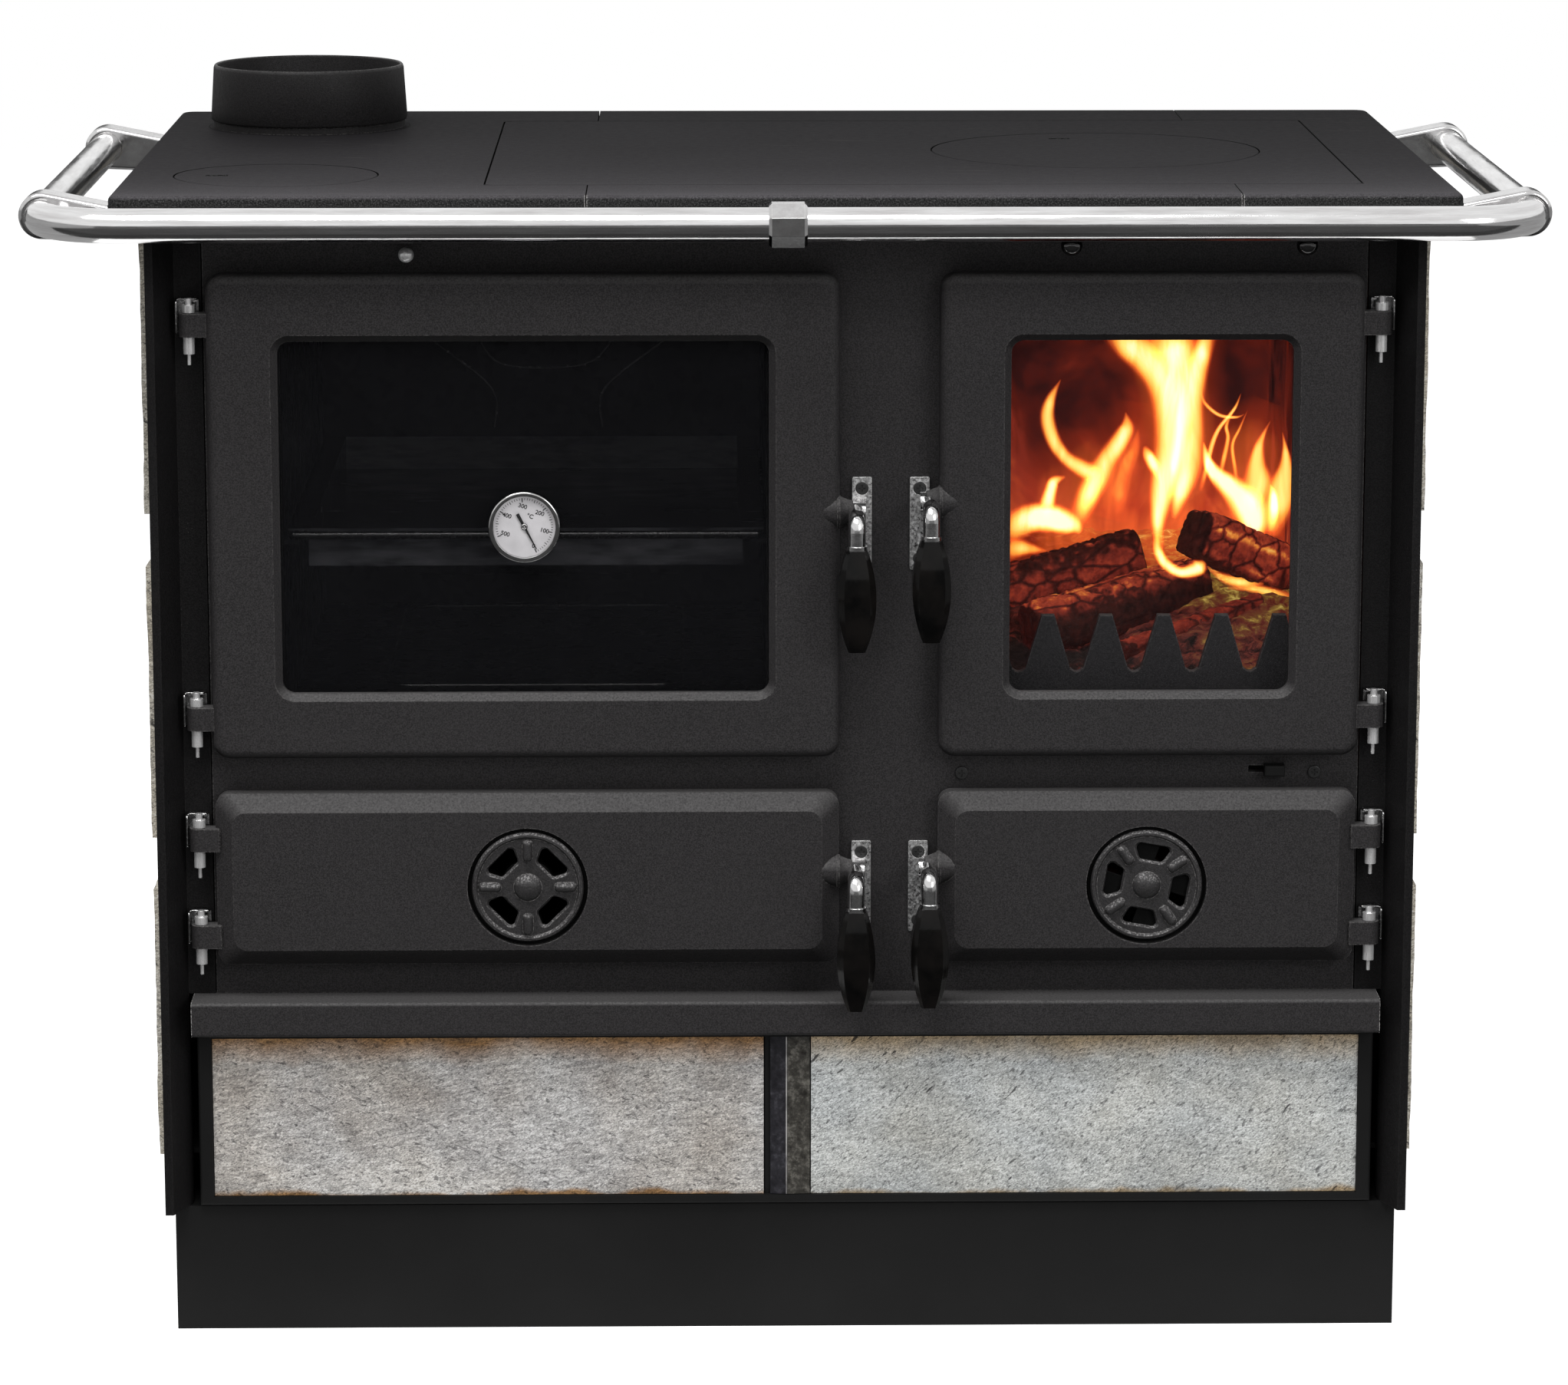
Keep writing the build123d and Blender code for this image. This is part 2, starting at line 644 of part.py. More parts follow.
def make_panel_screws():
    screws = []
    for x, front, z in screw_places():
        head = rod_y(x, (front, front + SCREW_HEAD_HEIGHT), z, SCREW_HEAD_RADIUS)
        head = fillet(head.edges().sort_by(Axis.Y)[:1], SCREW_ROUND)
        screw = head + rod_y(x, (front + SCREW_HEAD_HEIGHT, front + SCREW_LENGTH), z, SCREW_SHANK_RADIUS)
        long_side, narrow, deep = CROSS_SIZE
        for size in ((long_side, deep, narrow), (narrow, deep, long_side)):
            screw -= box_at(x, front + deep / 2, z, size)
        screws.append(screw)
    return screws


# ---- hob ----
def hob_shell():
    """The whole cast top with its skirt, before it is parted into its sections."""
    half_span = (-HOB_HALF, HOB_HALF)
    shell = floor_slab(half_span, (0, HOB_DEPTH), (SKIRT_BOTTOM, HOB_HEIGHT), HOB_CORNER)
    shell = fillet(shell.faces().sort_by(Axis.Z)[-1].edges(), HOB_EDGE_ROUND)
    shell -= block(inset(half_span, SKIRT_WIDTH), inset((0, HOB_DEPTH), SKIRT_WIDTH), (0, PLATE_UNDER))
    centre_x = inset((CENTRE_LEFT, CENTRE_RIGHT), -SEAM)
    centre_d = inset((CENTRE_FRONT, CENTRE_BACK), -SEAM)
    shell -= floor_slab(centre_x, centre_d, (RIM_UNDER, HOB_HEIGHT + 1), CENTRE_CORNER + SEAM)
    lip_z = (PLATE_UNDER - 1, HOB_HEIGHT)
    return shell - floor_slab(inset(centre_x, RIM_LIP), inset(centre_d, RIM_LIP), lip_z, CENTRE_CORNER)


def hob_cut(x_span):
    """The stretch of the whole hob between two X values."""
    return block(x_span, (-1, HOB_DEPTH + 1), (0, HOB_HEIGHT + 1))


def lid_hole(x, depth, radius):
    upper = rod_z(x, depth, (HOB_HEIGHT - LID_RIM, HOB_HEIGHT + 1), radius + LID_CLEARANCE)
    lower = rod_z(x, depth, (PLATE_UNDER - 1, HOB_HEIGHT), radius - LID_STEP + LID_CLEARANCE)
    return upper + lower


def make_lid(x, depth, radius, slot_offset):
    upper = rod_z(x, depth, (HOB_HEIGHT - LID_RIM, HOB_HEIGHT), radius)
    upper = chamfer(upper.edges().sort_by(Axis.Z)[-1], LID_BEVEL)
    lid = upper + rod_z(x, depth, (PLATE_UNDER, HOB_HEIGHT - LID_RIM), radius - LID_STEP)
    slot_x = x + slot_offset[0]
    slot_depth = depth + slot_offset[1]
    return lid - box_at(slot_x, slot_depth, HOB_HEIGHT - LIFT_SLOT[2] / 2 + SLOT_RISE, LIFT_SLOT)


def make_hob_left(shell):
    edge = -HOB_HALF + STRIP_LEFT_MARGIN
    left = shell & hob_cut((-HOB_HALF - 1, edge))
    left -= rod_z(FLUE_X, FLUE_DEPTH, (0, HOB_HEIGHT + 1), FLUE_HOLE_RADIUS)
    return left - lid_hole(SMALL_LID_X, SMALL_LID_DEPTH, SMALL_LID_RADIUS)


def make_hob_right(shell):
    return shell & hob_cut((HOB_HALF - STRIP_RIGHT_MARGIN, HOB_HALF + 1))


def make_hob_strips(shell):
    x_span = (-HOB_HALF + STRIP_LEFT_MARGIN + SEAM, HOB_HALF - STRIP_RIGHT_MARGIN - SEAM)
    return list((shell & hob_cut(x_span)).solids())


def make_centre_plate():
    x_span = (CENTRE_LEFT, CENTRE_RIGHT)
    depth_span = (CENTRE_FRONT, CENTRE_BACK)
    plate = floor_slab(x_span, depth_span, (RIM_UNDER, HOB_HEIGHT), CENTRE_CORNER)
    plate = chamfer(plate.faces().sort_by(Axis.Z)[-1].edges(), PLATE_BEVEL)
    under_x = inset(x_span, RIM_LIP)
    under_d = inset(depth_span, RIM_LIP)
    plate += floor_slab(under_x, under_d, (PLATE_UNDER, RIM_UNDER), CENTRE_CORNER)
    return plate - lid_hole(BIG_LID_X, BIG_LID_DEPTH, BIG_LID_RADIUS)


def make_flue_collar():
    base_z = (HOB_HEIGHT, HOB_HEIGHT + COLLAR_BASE_HEIGHT)
    base = rod_z(FLUE_X, FLUE_DEPTH, base_z, COLLAR_BASE_RADIUS)
    base = fillet(base.edges().sort_by(Axis.Z)[-1], COLLAR_BASE_ROUND)
    spigot = rod_z(FLUE_X, FLUE_DEPTH, (HOB_HEIGHT, HOB_HEIGHT + COLLAR_HEIGHT), COLLAR_RADIUS)
    bore_z = (HOB_HEIGHT - 1, HOB_HEIGHT + COLLAR_HEIGHT + 1)
    return base + spigot - rod_z(FLUE_X, FLUE_DEPTH, bore_z, COLLAR_RADIUS - COLLAR_WALL)


# ---- hand rail ----
def rail_bar_end():
    return BRACKET_FRONT + SOCKET_DEPTH


def make_front_bar():
    """The bar along the front, bent back at both ends into the front brackets."""
    y_bar = FRONT_Y - RAIL_STANDOFF
    y_end = FRONT_Y + rail_bar_end()
    x = RAIL_SIDE_X
    path = FilletPolyline((-x, y_end, RAIL_Z), (-x, y_bar, RAIL_Z), (x, y_bar, RAIL_Z), (x, y_end, RAIL_Z),
                          radius=RAIL_BEND)
    start = Plane(origin=(-x, y_end, RAIL_Z), z_dir=(0, -1, 0))
    return sweep(start * (Circle(RAIL_RADIUS) - Circle(RAIL_BORE)), path=path)


def make_hand_rail():
    side_depths = (BRACKET_FRONT + BRACKET_DEPTH - SOCKET_DEPTH, REAR_BRACKET_FRONT + SOCKET_DEPTH)
    side = rod_y(RAIL_SIDE_X, side_depths, RAIL_Z, RAIL_RADIUS)
    side -= rod_y(RAIL_SIDE_X, inset(side_depths, -1), RAIL_Z, RAIL_BORE)
    return [make_front_bar(), side, mirrored(side)]


def make_bracket(depth_front, socket_front, socket_back):
    """An arm from the hob's side out to a round end that holds the rail tubes."""
    depth = (depth_front, depth_front + BRACKET_DEPTH)
    under, over = (radians(angle) for angle in ARM_TANGENTS)
    arm = Polygon(
        (HOB_HALF, HOB_HEIGHT - BRACKET_ROOT_DROPS[0]),
        (RAIL_SIDE_X + BRACKET_RADIUS * sin(under), RAIL_Z - BRACKET_RADIUS * cos(under)),
        (RAIL_SIDE_X - BRACKET_RADIUS * sin(over), RAIL_Z + BRACKET_RADIUS * cos(over)),
        (HOB_HALF, HOB_HEIGHT - BRACKET_ROOT_DROPS[1]),
        align=None,
    )
    profile = arm + Pos(RAIL_SIDE_X, RAIL_Z) * Circle(BRACKET_RADIUS)
    bracket = extrude(front_plane(0, depth[1], 0) * profile, BRACKET_DEPTH)
    rims = bracket.edges().filter_by(GeomType.CIRCLE)
    bracket = fillet(rims, BRACKET_ROUND)
    socket_radius = RAIL_RADIUS + SOCKET_CLEARANCE
    if socket_front:
        bracket -= rod_y(RAIL_SIDE_X, (depth[0] - 1, depth[0] + SOCKET_DEPTH), RAIL_Z, socket_radius)
    if socket_back:
        bracket -= rod_y(RAIL_SIDE_X, (depth[1] - SOCKET_DEPTH, depth[1] + 1), RAIL_Z, socket_radius)
    return bracket


def make_rail_brackets():
    front = make_bracket(BRACKET_FRONT, True, True)
    rear = make_bracket(REAR_BRACKET_FRONT, True, False)
    clamp_end = (-CLAMP_WIDTH / 2, FRONT_Y - RAIL_STANDOFF, RAIL_Z)
    clamp_plane = Plane(origin=clamp_end, x_dir=(0, 1, 0), z_dir=(1, 0, 0))
    octagon = RegularPolygon(CLAMP_HEIGHT / 2, 8, major_radius=False, rotation=22.5)
    clamp = extrude(clamp_plane * octagon, CLAMP_WIDTH)
    ends = clamp.faces().filter_by(Axis.X).edges()
    clamp = chamfer(ends, CLAMP_BEVEL)
    clamp += rod_y(0, (-RAIL_STANDOFF, 0), RAIL_Z, CLAMP_STEM_RADIUS)
    bore_x = inset((-CLAMP_WIDTH / 2, CLAMP_WIDTH / 2), -1)
    clamp -= rod_x(bore_x, -RAIL_STANDOFF, RAIL_Z, RAIL_RADIUS + SOCKET_CLEARANCE)
    return [front, mirrored(front), rear, mirrored(rear), clamp]


# ---- hinges ----
def hinge_heights(z_span, margins):
    """Middle height of each hinge lug of a door."""
    return (z_span[0] + margins[0], z_span[1] - margins[1])


def all_hinge_heights():
    return hinge_heights(UPPER_Z, UPPER_HINGES) + hinge_heights(LOWER_Z, LOWER_HINGES)


def make_hinge_brackets():
    brackets = []
    for z in all_hinge_heights():
        top = z + LUG_HEIGHT / 2 + BRACKET_LIFT
        x_span = (PIN_X - BRACKET_HALF_WIDTH, PIN_X + BRACKET_HALF_WIDTH)
        leg = block(x_span, (FRAME_FRONT - BRACKET_THICKNESS, FRAME_FRONT), (top - BRACKET_LEG, top))
        tab = block(x_span, (PIN_DEPTH - BRACKET_HALF_WIDTH, FRAME_FRONT), (top - BRACKET_TAB, top))
        bracket = leg + tab
        bracket -= rod_z(PIN_X, PIN_DEPTH, (top - BRACKET_TAB - 1, top + 1), PIN_RADIUS + RUNNING)
        brackets += [bracket, mirrored(bracket)]
    return brackets


def make_hinge_pins():
    pins = []
    for z in all_hinge_heights():
        lug_top = z + LUG_HEIGHT / 2
        lug_bottom = z - LUG_HEIGHT / 2
        bush_bottom = lug_bottom - GAP - BUSH_LENGTH
        pin_top = lug_top + BRACKET_LIFT + PIN_PROUD
        pin = rod_z(PIN_X, PIN_DEPTH, (lug_bottom - GAP, pin_top), PIN_RADIUS)
        washer_z = (lug_top + GAP, lug_top + BRACKET_LIFT - BRACKET_TAB)
        pin += rod_z(PIN_X, PIN_DEPTH, washer_z, WASHER_RADIUS)
        pin += rod_z(PIN_X, PIN_DEPTH, (bush_bottom, lug_bottom - GAP), BUSH_RADIUS)
        pin += rod_z(PIN_X, PIN_DEPTH, (bush_bottom - TIP_LENGTH, bush_bottom), TIP_RADIUS)
        pins += [pin, mirrored(pin)]
    return pins


# ---- doors ----
def handle_height(name):
    z_span = UPPER_Z if name in ("oven", "firebox") else LOWER_Z
    return middle(z_span) + HANDLE_LIFT[name]


def add_lugs(door, z_span, margins, side):
    """Hinge lugs on the outer edge of a door, with the bores that turn on the pins."""
    x = side * PIN_X
    inner = side * (DOOR_EDGE - 3)
    for z in hinge_heights(z_span, margins):
        lug_z = (z - LUG_HEIGHT / 2, z + LUG_HEIGHT / 2)
        neck = block(sorted((x, inner)), (PIN_DEPTH - LUG_RADIUS, PIN_DEPTH + LUG_RADIUS), lug_z)
        door += neck + rod_z(x, PIN_DEPTH, lug_z, LUG_RADIUS)
        door -= rod_z(x, PIN_DEPTH, inset(lug_z, -1), PIN_RADIUS + RUNNING)
    return door


def add_boss(door, name, edge, side):
    """The cast cone at the free edge of a door, with the bore for the handle's spindle."""
    z = handle_height(name)
    spread = side * BOSS_LENGTH
    cone = Cone(BOSS_TIP_RADIUS, BOSS_RADIUS, BOSS_LENGTH)
    door += Pos(edge - spread / 2, FRONT_Y + PIVOT_DEPTH, z) * Rot(0, side * 90, 0) * cone
    bore_x = sorted((edge - side * (SPINDLE_BURIED + GAP), edge + side))
    return door - rod_x(bore_x, PIVOT_DEPTH, z, SPINDLE_RADIUS + RUNNING)


def window_spans(x_span):
    z_span = (UPPER_BOTTOM + WINDOW_BOTTOM_MARGIN, UPPER_TOP - WINDOW_TOP_MARGIN)
    return inset(x_span, WINDOW_SIDE_MARGIN), z_span


def glass_spans(x_span):
    window_x, window_z = window_spans(x_span)
    return inset(window_x, -GLASS_LAP), inset(window_z, -GLASS_LAP)


def make_window_door(name, x_span, free_side):
    """A tall door casting with a glazed window; free_side is +1 where its free edge is on the right."""
    door = slab(x_span, (DOOR_FRONT, DOOR_BACK), UPPER_Z, DOOR_CORNER)
    door = fillet(door.faces().sort_by(Axis.Y)[0].edges(), DOOR_EDGE_ROUND)
    window_x, window_z = window_spans(x_span)
    opening = slab(window_x, (DOOR_FRONT - 1, DOOR_BACK + 1), window_z, WINDOW_CORNER)
    lip_plane = front_plane(middle(window_x), DOOR_FRONT + WINDOW_CHAMFER, middle(window_z))
    lip = lip_plane * RectangleRounded(width(window_x), width(window_z), WINDOW_CORNER)
    wide_x = width(window_x) + 2 * WINDOW_CHAMFER
    wide_z = width(window_z) + 2 * WINDOW_CHAMFER
    wide_plane = front_plane(middle(window_x), DOOR_FRONT, middle(window_z))
    wide = wide_plane * RectangleRounded(wide_x, wide_z, WINDOW_CORNER + WINDOW_CHAMFER)
    door -= opening
    door -= loft([lip, wide])
    glass_x, glass_z = glass_spans(x_span)
    rebate_x = inset(glass_x, -GLASS_FIT)
    rebate_z = inset(glass_z, -GLASS_FIT)
    door -= slab(rebate_x, (GLASS_FRONT, DOOR_BACK + 1), rebate_z, WINDOW_CORNER)
    door -= seal_ring(x_span, (DOOR_BACK - SEAL_DEPTH, DOOR_BACK + 1), 0)
    edge = x_span[1] if free_side > 0 else x_span[0]
    door = add_boss(door, name, edge, free_side)
    return add_lugs(door, UPPER_Z, UPPER_HINGES, -free_side)


def seal_ring(x_span, depth_span, slack):
    ring_x = inset(x_span, SEAL_INSET + slack)
    ring_z = inset(UPPER_Z, SEAL_INSET + slack)
    return ring_plate(ring_x, depth_span, ring_z, DOOR_CORNER, SEAL_WIDTH - 2 * slack)


def make_door_seal(x_span):
    return seal_ring(x_span, (DOOR_BACK - SEAL_DEPTH, FRAME_FRONT - GAP), SOCKET_CLEARANCE)


def make_glass(x_span, hole):
    glass_x, glass_z = glass_spans(x_span)
    pane = slab(glass_x, (GLASS_FRONT, GLASS_FRONT + GLASS_THICKNESS), glass_z, WINDOW_CORNER)
    if hole:
        pane -= rod_y(middle(x_span), (GLASS_FRONT - 1, DOOR_BACK), thermometer_height(), STEM_RADIUS + 1)
    return pane


def make_glass_clips(x_span):
    """Four sheet clips behind each pane, each with its round screw head."""
    glass_x, glass_z = glass_spans(x_span)
    clips = []
    back = GLASS_FRONT + GLASS_THICKNESS
    for z in inset(glass_z, width(glass_z) / 5):
        for x, outward in ((glass_x[0], -1), (glass_x[1], 1)):
            along = sorted((x - outward * CLIP_SIZE[1] / 2, x + outward * GLASS_FIT))
            clip = block(along, (back, back + CLIP_SIZE[2]), (z - CLIP_SIZE[0] / 2, z + CLIP_SIZE[0] / 2))
            centre = middle(along)
            clip += rod_y(centre, (back + CLIP_SIZE[2], back + 2 * CLIP_SIZE[2]), z, CLIP_SCREW_RADIUS)
            clips.append(clip)
    return clips


def make_lower_door(name, x_span, free_side):
    """A low solid door with a pillowed face and a recess for its air wheel."""
    shoulder = DOOR_FRONT + PILLOW_DEPTH
    door = slab(x_span, (shoulder, DOOR_BACK), LOWER_Z, DOOR_CORNER - 2)
    base = front_plane(middle(x_span), shoulder, middle(LOWER_Z))
    top = front_plane(middle(x_span), DOOR_FRONT, middle(LOWER_Z))
    low = base * RectangleRounded(width(x_span), width(LOWER_Z), DOOR_CORNER - 2)
    high_size = (width(x_span) - 2 * PILLOW_INSET, width(LOWER_Z) - 2 * PILLOW_INSET)
    high = top * RectangleRounded(*high_size, DOOR_CORNER - 2)
    door += loft([low, high])
    x = middle(x_span)
    z = wheel_height()
    floor = DOOR_FRONT + RECESS_DEPTH
    door -= rod_y(x, (DOOR_FRONT - 1, floor), z, RECESS_RADIUS)
    for window in sectors(x, z, (DOOR_FRONT, DOOR_BACK + 1), 0):
        door -= window
    door -= rod_y(x, (DOOR_FRONT, DOOR_BACK + 1), z, WHEEL_PIVOT_RADIUS + RUNNING)
    edge = x_span[1] if free_side > 0 else x_span[0]
    door = add_boss(door, name, edge, free_side)
    return add_lugs(door, LOWER_Z, LOWER_HINGES, -free_side)


# ---- door handles ----
def handle_x(edge, side):
    return edge + side * (LEFT_HANDLE_OFFSET if side > 0 else RIGHT_HANDLE_OFFSET)


def make_handle_lever(name, edge, side):
    """Spindle, hub, forward arm, elbow and the nose that bears on the strike plate."""
    z = handle_height(name)
    x = handle_x(edge, side)
    spindle_x = sorted((edge - side * SPINDLE_BURIED, x + side * HUB_LENGTH / 2))
    hub_x = sorted((edge + side * GAP, x + side * HUB_LENGTH / 2))
    lever = rod_x(spindle_x, PIVOT_DEPTH, z, SPINDLE_RADIUS) + rod_x(hub_x, PIVOT_DEPTH, z, HUB_RADIUS)
    y_pivot = FRONT_Y + PIVOT_DEPTH
    y_grip = FRONT_Y + GRIP_CENTRE_DEPTH
    path = FilletPolyline((x, y_pivot, z), (x, y_grip, z), (x, y_grip, z - GRIP_DROP), radius=ARM_BEND)
    lever += sweep(Plane(origin=(x, y_pivot, z), z_dir=(0, -1, 0)) * Circle(ARM_RADIUS), path=path)
    ferrule_z = (z - GRIP_DROP, z - GRIP_DROP + FERRULE_HEIGHT)
    lever += rod_z(x, GRIP_CENTRE_DEPTH, ferrule_z, FERRULE_RADIUS)
    nose_x = sorted((x + side * (HUB_LENGTH / 2 - NOSE_WIDTH), x + side * HUB_LENGTH / 2))
    nose_z = (z - NOSE_HALF_HEIGHT, z + NOSE_HALF_HEIGHT)
    nose = block(nose_x, (PIVOT_DEPTH, PIVOT_DEPTH + 2 * NOSE_REACH), nose_z)
    return lever + (nose & rod_x(nose_x, PIVOT_DEPTH, z, NOSE_REACH))


def grip_profile(scale):
    """The grip's side view as a closed face: narrow, wide, narrow."""
    widest = -GRIP_WIDEST * GRIP_LENGTH
    top = scale * GRIP_TOP_WIDTH / 2
    wide = scale * GRIP_WIDTH / 2
    end = scale * GRIP_END_WIDTH / 2
    right = Spline((top, 0), (wide, widest), (end, -GRIP_LENGTH))
    left = Spline((-top, 0), (-wide, widest), (-end, -GRIP_LENGTH))
    upper = Line((-top, 0), (top, 0))
    lower = Line((-end, -GRIP_LENGTH), (end, -GRIP_LENGTH))
    return make_face(Curve() + [right, left, upper, lower])


def grip_bar(scale, turn):
    face = Plane(origin=(0, GRIP_WIDTH, 0), x_dir=(1, 0, 0), z_dir=(0, -1, 0)) * grip_profile(scale)
    return Rot(0, 0, turn) * extrude(face, 2 * GRIP_WIDTH)


def make_grip(name, edge, side):
    """A square spindle with bevelled corners: two crossed profiles, cut by two more at 45 degrees."""
    grip = grip_bar(1, 0) & grip_bar(1, 90) & grip_bar(GRIP_BEVEL, 45) & grip_bar(GRIP_BEVEL, 135)
    top = handle_height(name) - GRIP_DROP
    return Pos(handle_x(edge, side), FRONT_Y + GRIP_CENTRE_DEPTH, top) * grip


# ---- thermometer ----
def thermometer_height():
    return middle(UPPER_Z) - THERMOMETER_DROP


def make_thermometer_case():
    x = middle(LEFT_DOOR)
    z = thermometer_height()
    bezel = rod_y(x, (BEZEL_FRONT, BEZEL_BACK), z, BEZEL_RADIUS)
    bezel = fillet(bezel.edges().sort_by(Axis.Y)[:1], BEZEL_ROUND)
    case = bezel + rod_y(x, (BEZEL_BACK, GLASS_FRONT), z, CASE_RADIUS)
    case -= rod_y(x, (BEZEL_FRONT - 1, DIAL_DEPTH + DIAL_THICKNESS), z, DIAL_RADIUS + SOCKET_CLEARANCE)
    return case + rod_y(x, (GLASS_FRONT - 1, STEM_END), z, STEM_RADIUS)


def make_thermometer_dial():
    x = middle(LEFT_DOOR)
    z = thermometer_height()
    dial = rod_y(x, (DIAL_DEPTH, DIAL_DEPTH + DIAL_THICKNESS), z, DIAL_RADIUS)
    return dial + rod_y(x, (NEEDLE_DEPTH, DIAL_DEPTH), z, NEEDLE_PIVOT_RADIUS)


def make_thermometer_lens():
    depth = (LENS_DEPTH, LENS_DEPTH + LENS_THICKNESS)
    return rod_y(middle(LEFT_DOOR), depth, thermometer_height(), DIAL_RADIUS)


def make_needle():
    depth = (NEEDLE_DEPTH, NEEDLE_DEPTH + NEEDLE_THICKNESS)
    plane = front_plane(middle(LEFT_DOOR), depth[1], thermometer_height())
    tail, waist, tip = NEEDLE_HALF_WIDTHS
    blade = Polygon(
        (-NEEDLE_TAIL, -tail),
        (0, -waist),
        (NEEDLE_TIP, -tip),
        (NEEDLE_TIP, tip),
        (0, waist),
        (-NEEDLE_TAIL, tail),
        align=None,
    )
    outline = Rot(0, 0, NEEDLE_ANGLE) * (blade + Circle(NEEDLE_HUB_RADIUS))
    outline -= Circle(NEEDLE_PIVOT_RADIUS + RUNNING)
    return extrude(plane * outline, NEEDLE_THICKNESS)


# ---- air wheels ----
def wheel_height():
    return middle(LOWER_Z) - WHEEL_DROP


def make_air_wheel(name, x_span):
    x = middle(x_span)
    z = wheel_height()
    back = DOOR_FRONT + RECESS_DEPTH - GAP
    front = back - WHEEL_THICKNESS
    turn = WHEEL_TURN[name]
    wheel = rod_y(x, (front, back), z, WHEEL_RADIUS)
    wheel = fillet(wheel.edges().sort_by(Axis.Y)[:1], WHEEL_ROUND)
    for window in sectors(x, z, (front - 1, back + 1), turn):
        wheel -= window
    rib_size = (RIB_LENGTH[1] - RIB_LENGTH[0], RIB_HEIGHT + 1, RIB_WIDTH)
    for quarter in range(4):
        rib = fillet(Box(*rib_size).faces().sort_by(Axis.Y)[0].edges(), RIB_ROUND)
        arm = Rot(0, -turn - 90 * quarter, 0) * Pos(middle(RIB_LENGTH), 0, 0) * rib
        wheel += Pos(x, FRONT_Y + front + 1 - rib_size[1] / 2, z) * arm
    dome = rod_y(x, (front - DOME_HEIGHT, front + 1), z, DOME_RADIUS)
    wheel += fillet(dome.edges().sort_by(Axis.Y)[:1], DOME_ROUND)
    return wheel + rod_y(x, (front, front + WHEEL_PIVOT_LENGTH), z, WHEEL_PIVOT_RADIUS)


# ---- pulls and lever ----
def damper_place():
    return -BODY_HALF + DAMPER_INSET, HOB_HEIGHT - DAMPER_DROP


def air_pull_places():
    return [BODY_HALF - amount for amount in AIR_PULL_INSETS]


def air_pull_height():
    return HOB_HEIGHT - AIR_PULL_DROP


def make_pull(x, z, ball_depth, ball_radius, rod_radius, rod_end, gate_size):
    """A ball knob on a rod that works a gate behind the front frame."""
    pull = ball(x, ball_depth, z, ball_radius) + rod_y(x, (ball_depth, rod_end), z, rod_radius)
    return pull + box_at(x, rod_end, z, gate_size)


def make_air_lever():
    z = MID_GAP_Z
    tab_back = FRAME_FRONT - GAP
    tab_width, tab_depth, tab_height = LEVER_TAB
    tab = box_at(LEVER_X, tab_back - tab_depth / 2, z, (tab_width, tab_depth, tab_height))
    tab = fillet(tab.faces().sort_by(Axis.Y)[0].edges(), LEVER_ROUND)
    shutter_depth = FRAME_BACK + GAP + SHUTTER_SIZE[1] / 2
    stem_depth = (tab_back, FRAME_BACK + GAP)
    stem_x = (LEVER_X - LEVER_STEM[0] / 2, LEVER_X + LEVER_STEM[0] / 2)
    stem = block(stem_x, stem_depth, (z - LEVER_STEM[1] / 2, z + LEVER_STEM[1] / 2))
    return tab + stem + box_at(LEVER_X, shutter_depth, z, SHUTTER_SIZE)


# ---- oven ----
def rack_height():
    return RUNNER_Z + RUNNER_SIZE[1] + RACK_ROD


def make_oven_box():
    outer_x = inset(OVEN_X, -OVEN_WALL)
    outer_z = inset(OVEN_Z, -OVEN_WALL)
    oven = block(outer_x, (FRAME_BACK, OVEN_BACK + OVEN_WALL), outer_z)
    oven -= block(OVEN_X, (FRAME_BACK - 1, OVEN_BACK), OVEN_Z)
    runner_depth = (FRAME_BACK + RUNNER_START, OVEN_BACK)
    runner_z = (RUNNER_Z, RUNNER_Z + RUNNER_SIZE[1])
    oven += block((OVEN_X[0] - 1, OVEN_X[0] + RUNNER_SIZE[0]), runner_depth, runner_z)
    oven += block((OVEN_X[1] - RUNNER_SIZE[0], OVEN_X[1] + 1), runner_depth, runner_z)
    centre = (middle(OVEN_X), middle((FRAME_BACK, OVEN_BACK)))
    length, rib_width, rib_height = CEILING_RIB
    for angle in CEILING_RIB_ANGLES:
        rib = Pos(CEILING_RIB_SHIFT, 0, 0) * Box(length, rib_width, 2 * rib_height)
        oven += Pos(centre[0], FRONT_Y + centre[1], OVEN_Z[1]) * Rot(0, 0, angle) * rib
    panel_x = inset(OVEN_X, BACK_RIB_SIDE)
    panel_z = (OVEN_Z[0] + BACK_RIB_RISE, RUNNER_Z - BACK_RIB_DROP)
    panel_depth = (OVEN_BACK - BACK_RIB_HEIGHT, OVEN_BACK + 1)
    return oven + ring_plate(panel_x, panel_depth, panel_z, BACK_RIB_CORNER, BACK_RIB_WIDTH)


def make_oven_rack():
    """A rod frame that lies on the oven's runners and carries the tray by its rim."""
    x_span = inset(OVEN_X, RACK_SIDE_CLEARANCE + RACK_ROD)
    depth_span = (RACK_FRONT + RACK_ROD, OVEN_BACK - RACK_SIDE_CLEARANCE - RACK_ROD)
    z = rack_height()
    rack = None
    for depth in depth_span:
        rod = rod_x(x_span, depth, z, RACK_ROD)
        rack = rod if rack is None else rack + rod
    for x in x_span:
        rack += rod_y(x, depth_span, z, RACK_ROD)
        for depth in depth_span:
            rack += ball(x, depth, z, RACK_ROD)
    return rack


def tray_spans():
    x_span = inset(OVEN_X, RACK_SIDE_CLEARANCE + 2 * RACK_ROD + TRAY_CLEARANCE)
    rack_depth = (RACK_FRONT, OVEN_BACK - RACK_SIDE_CLEARANCE)
    return x_span, inset(rack_depth, 2 * RACK_ROD + TRAY_END_CLEARANCE)


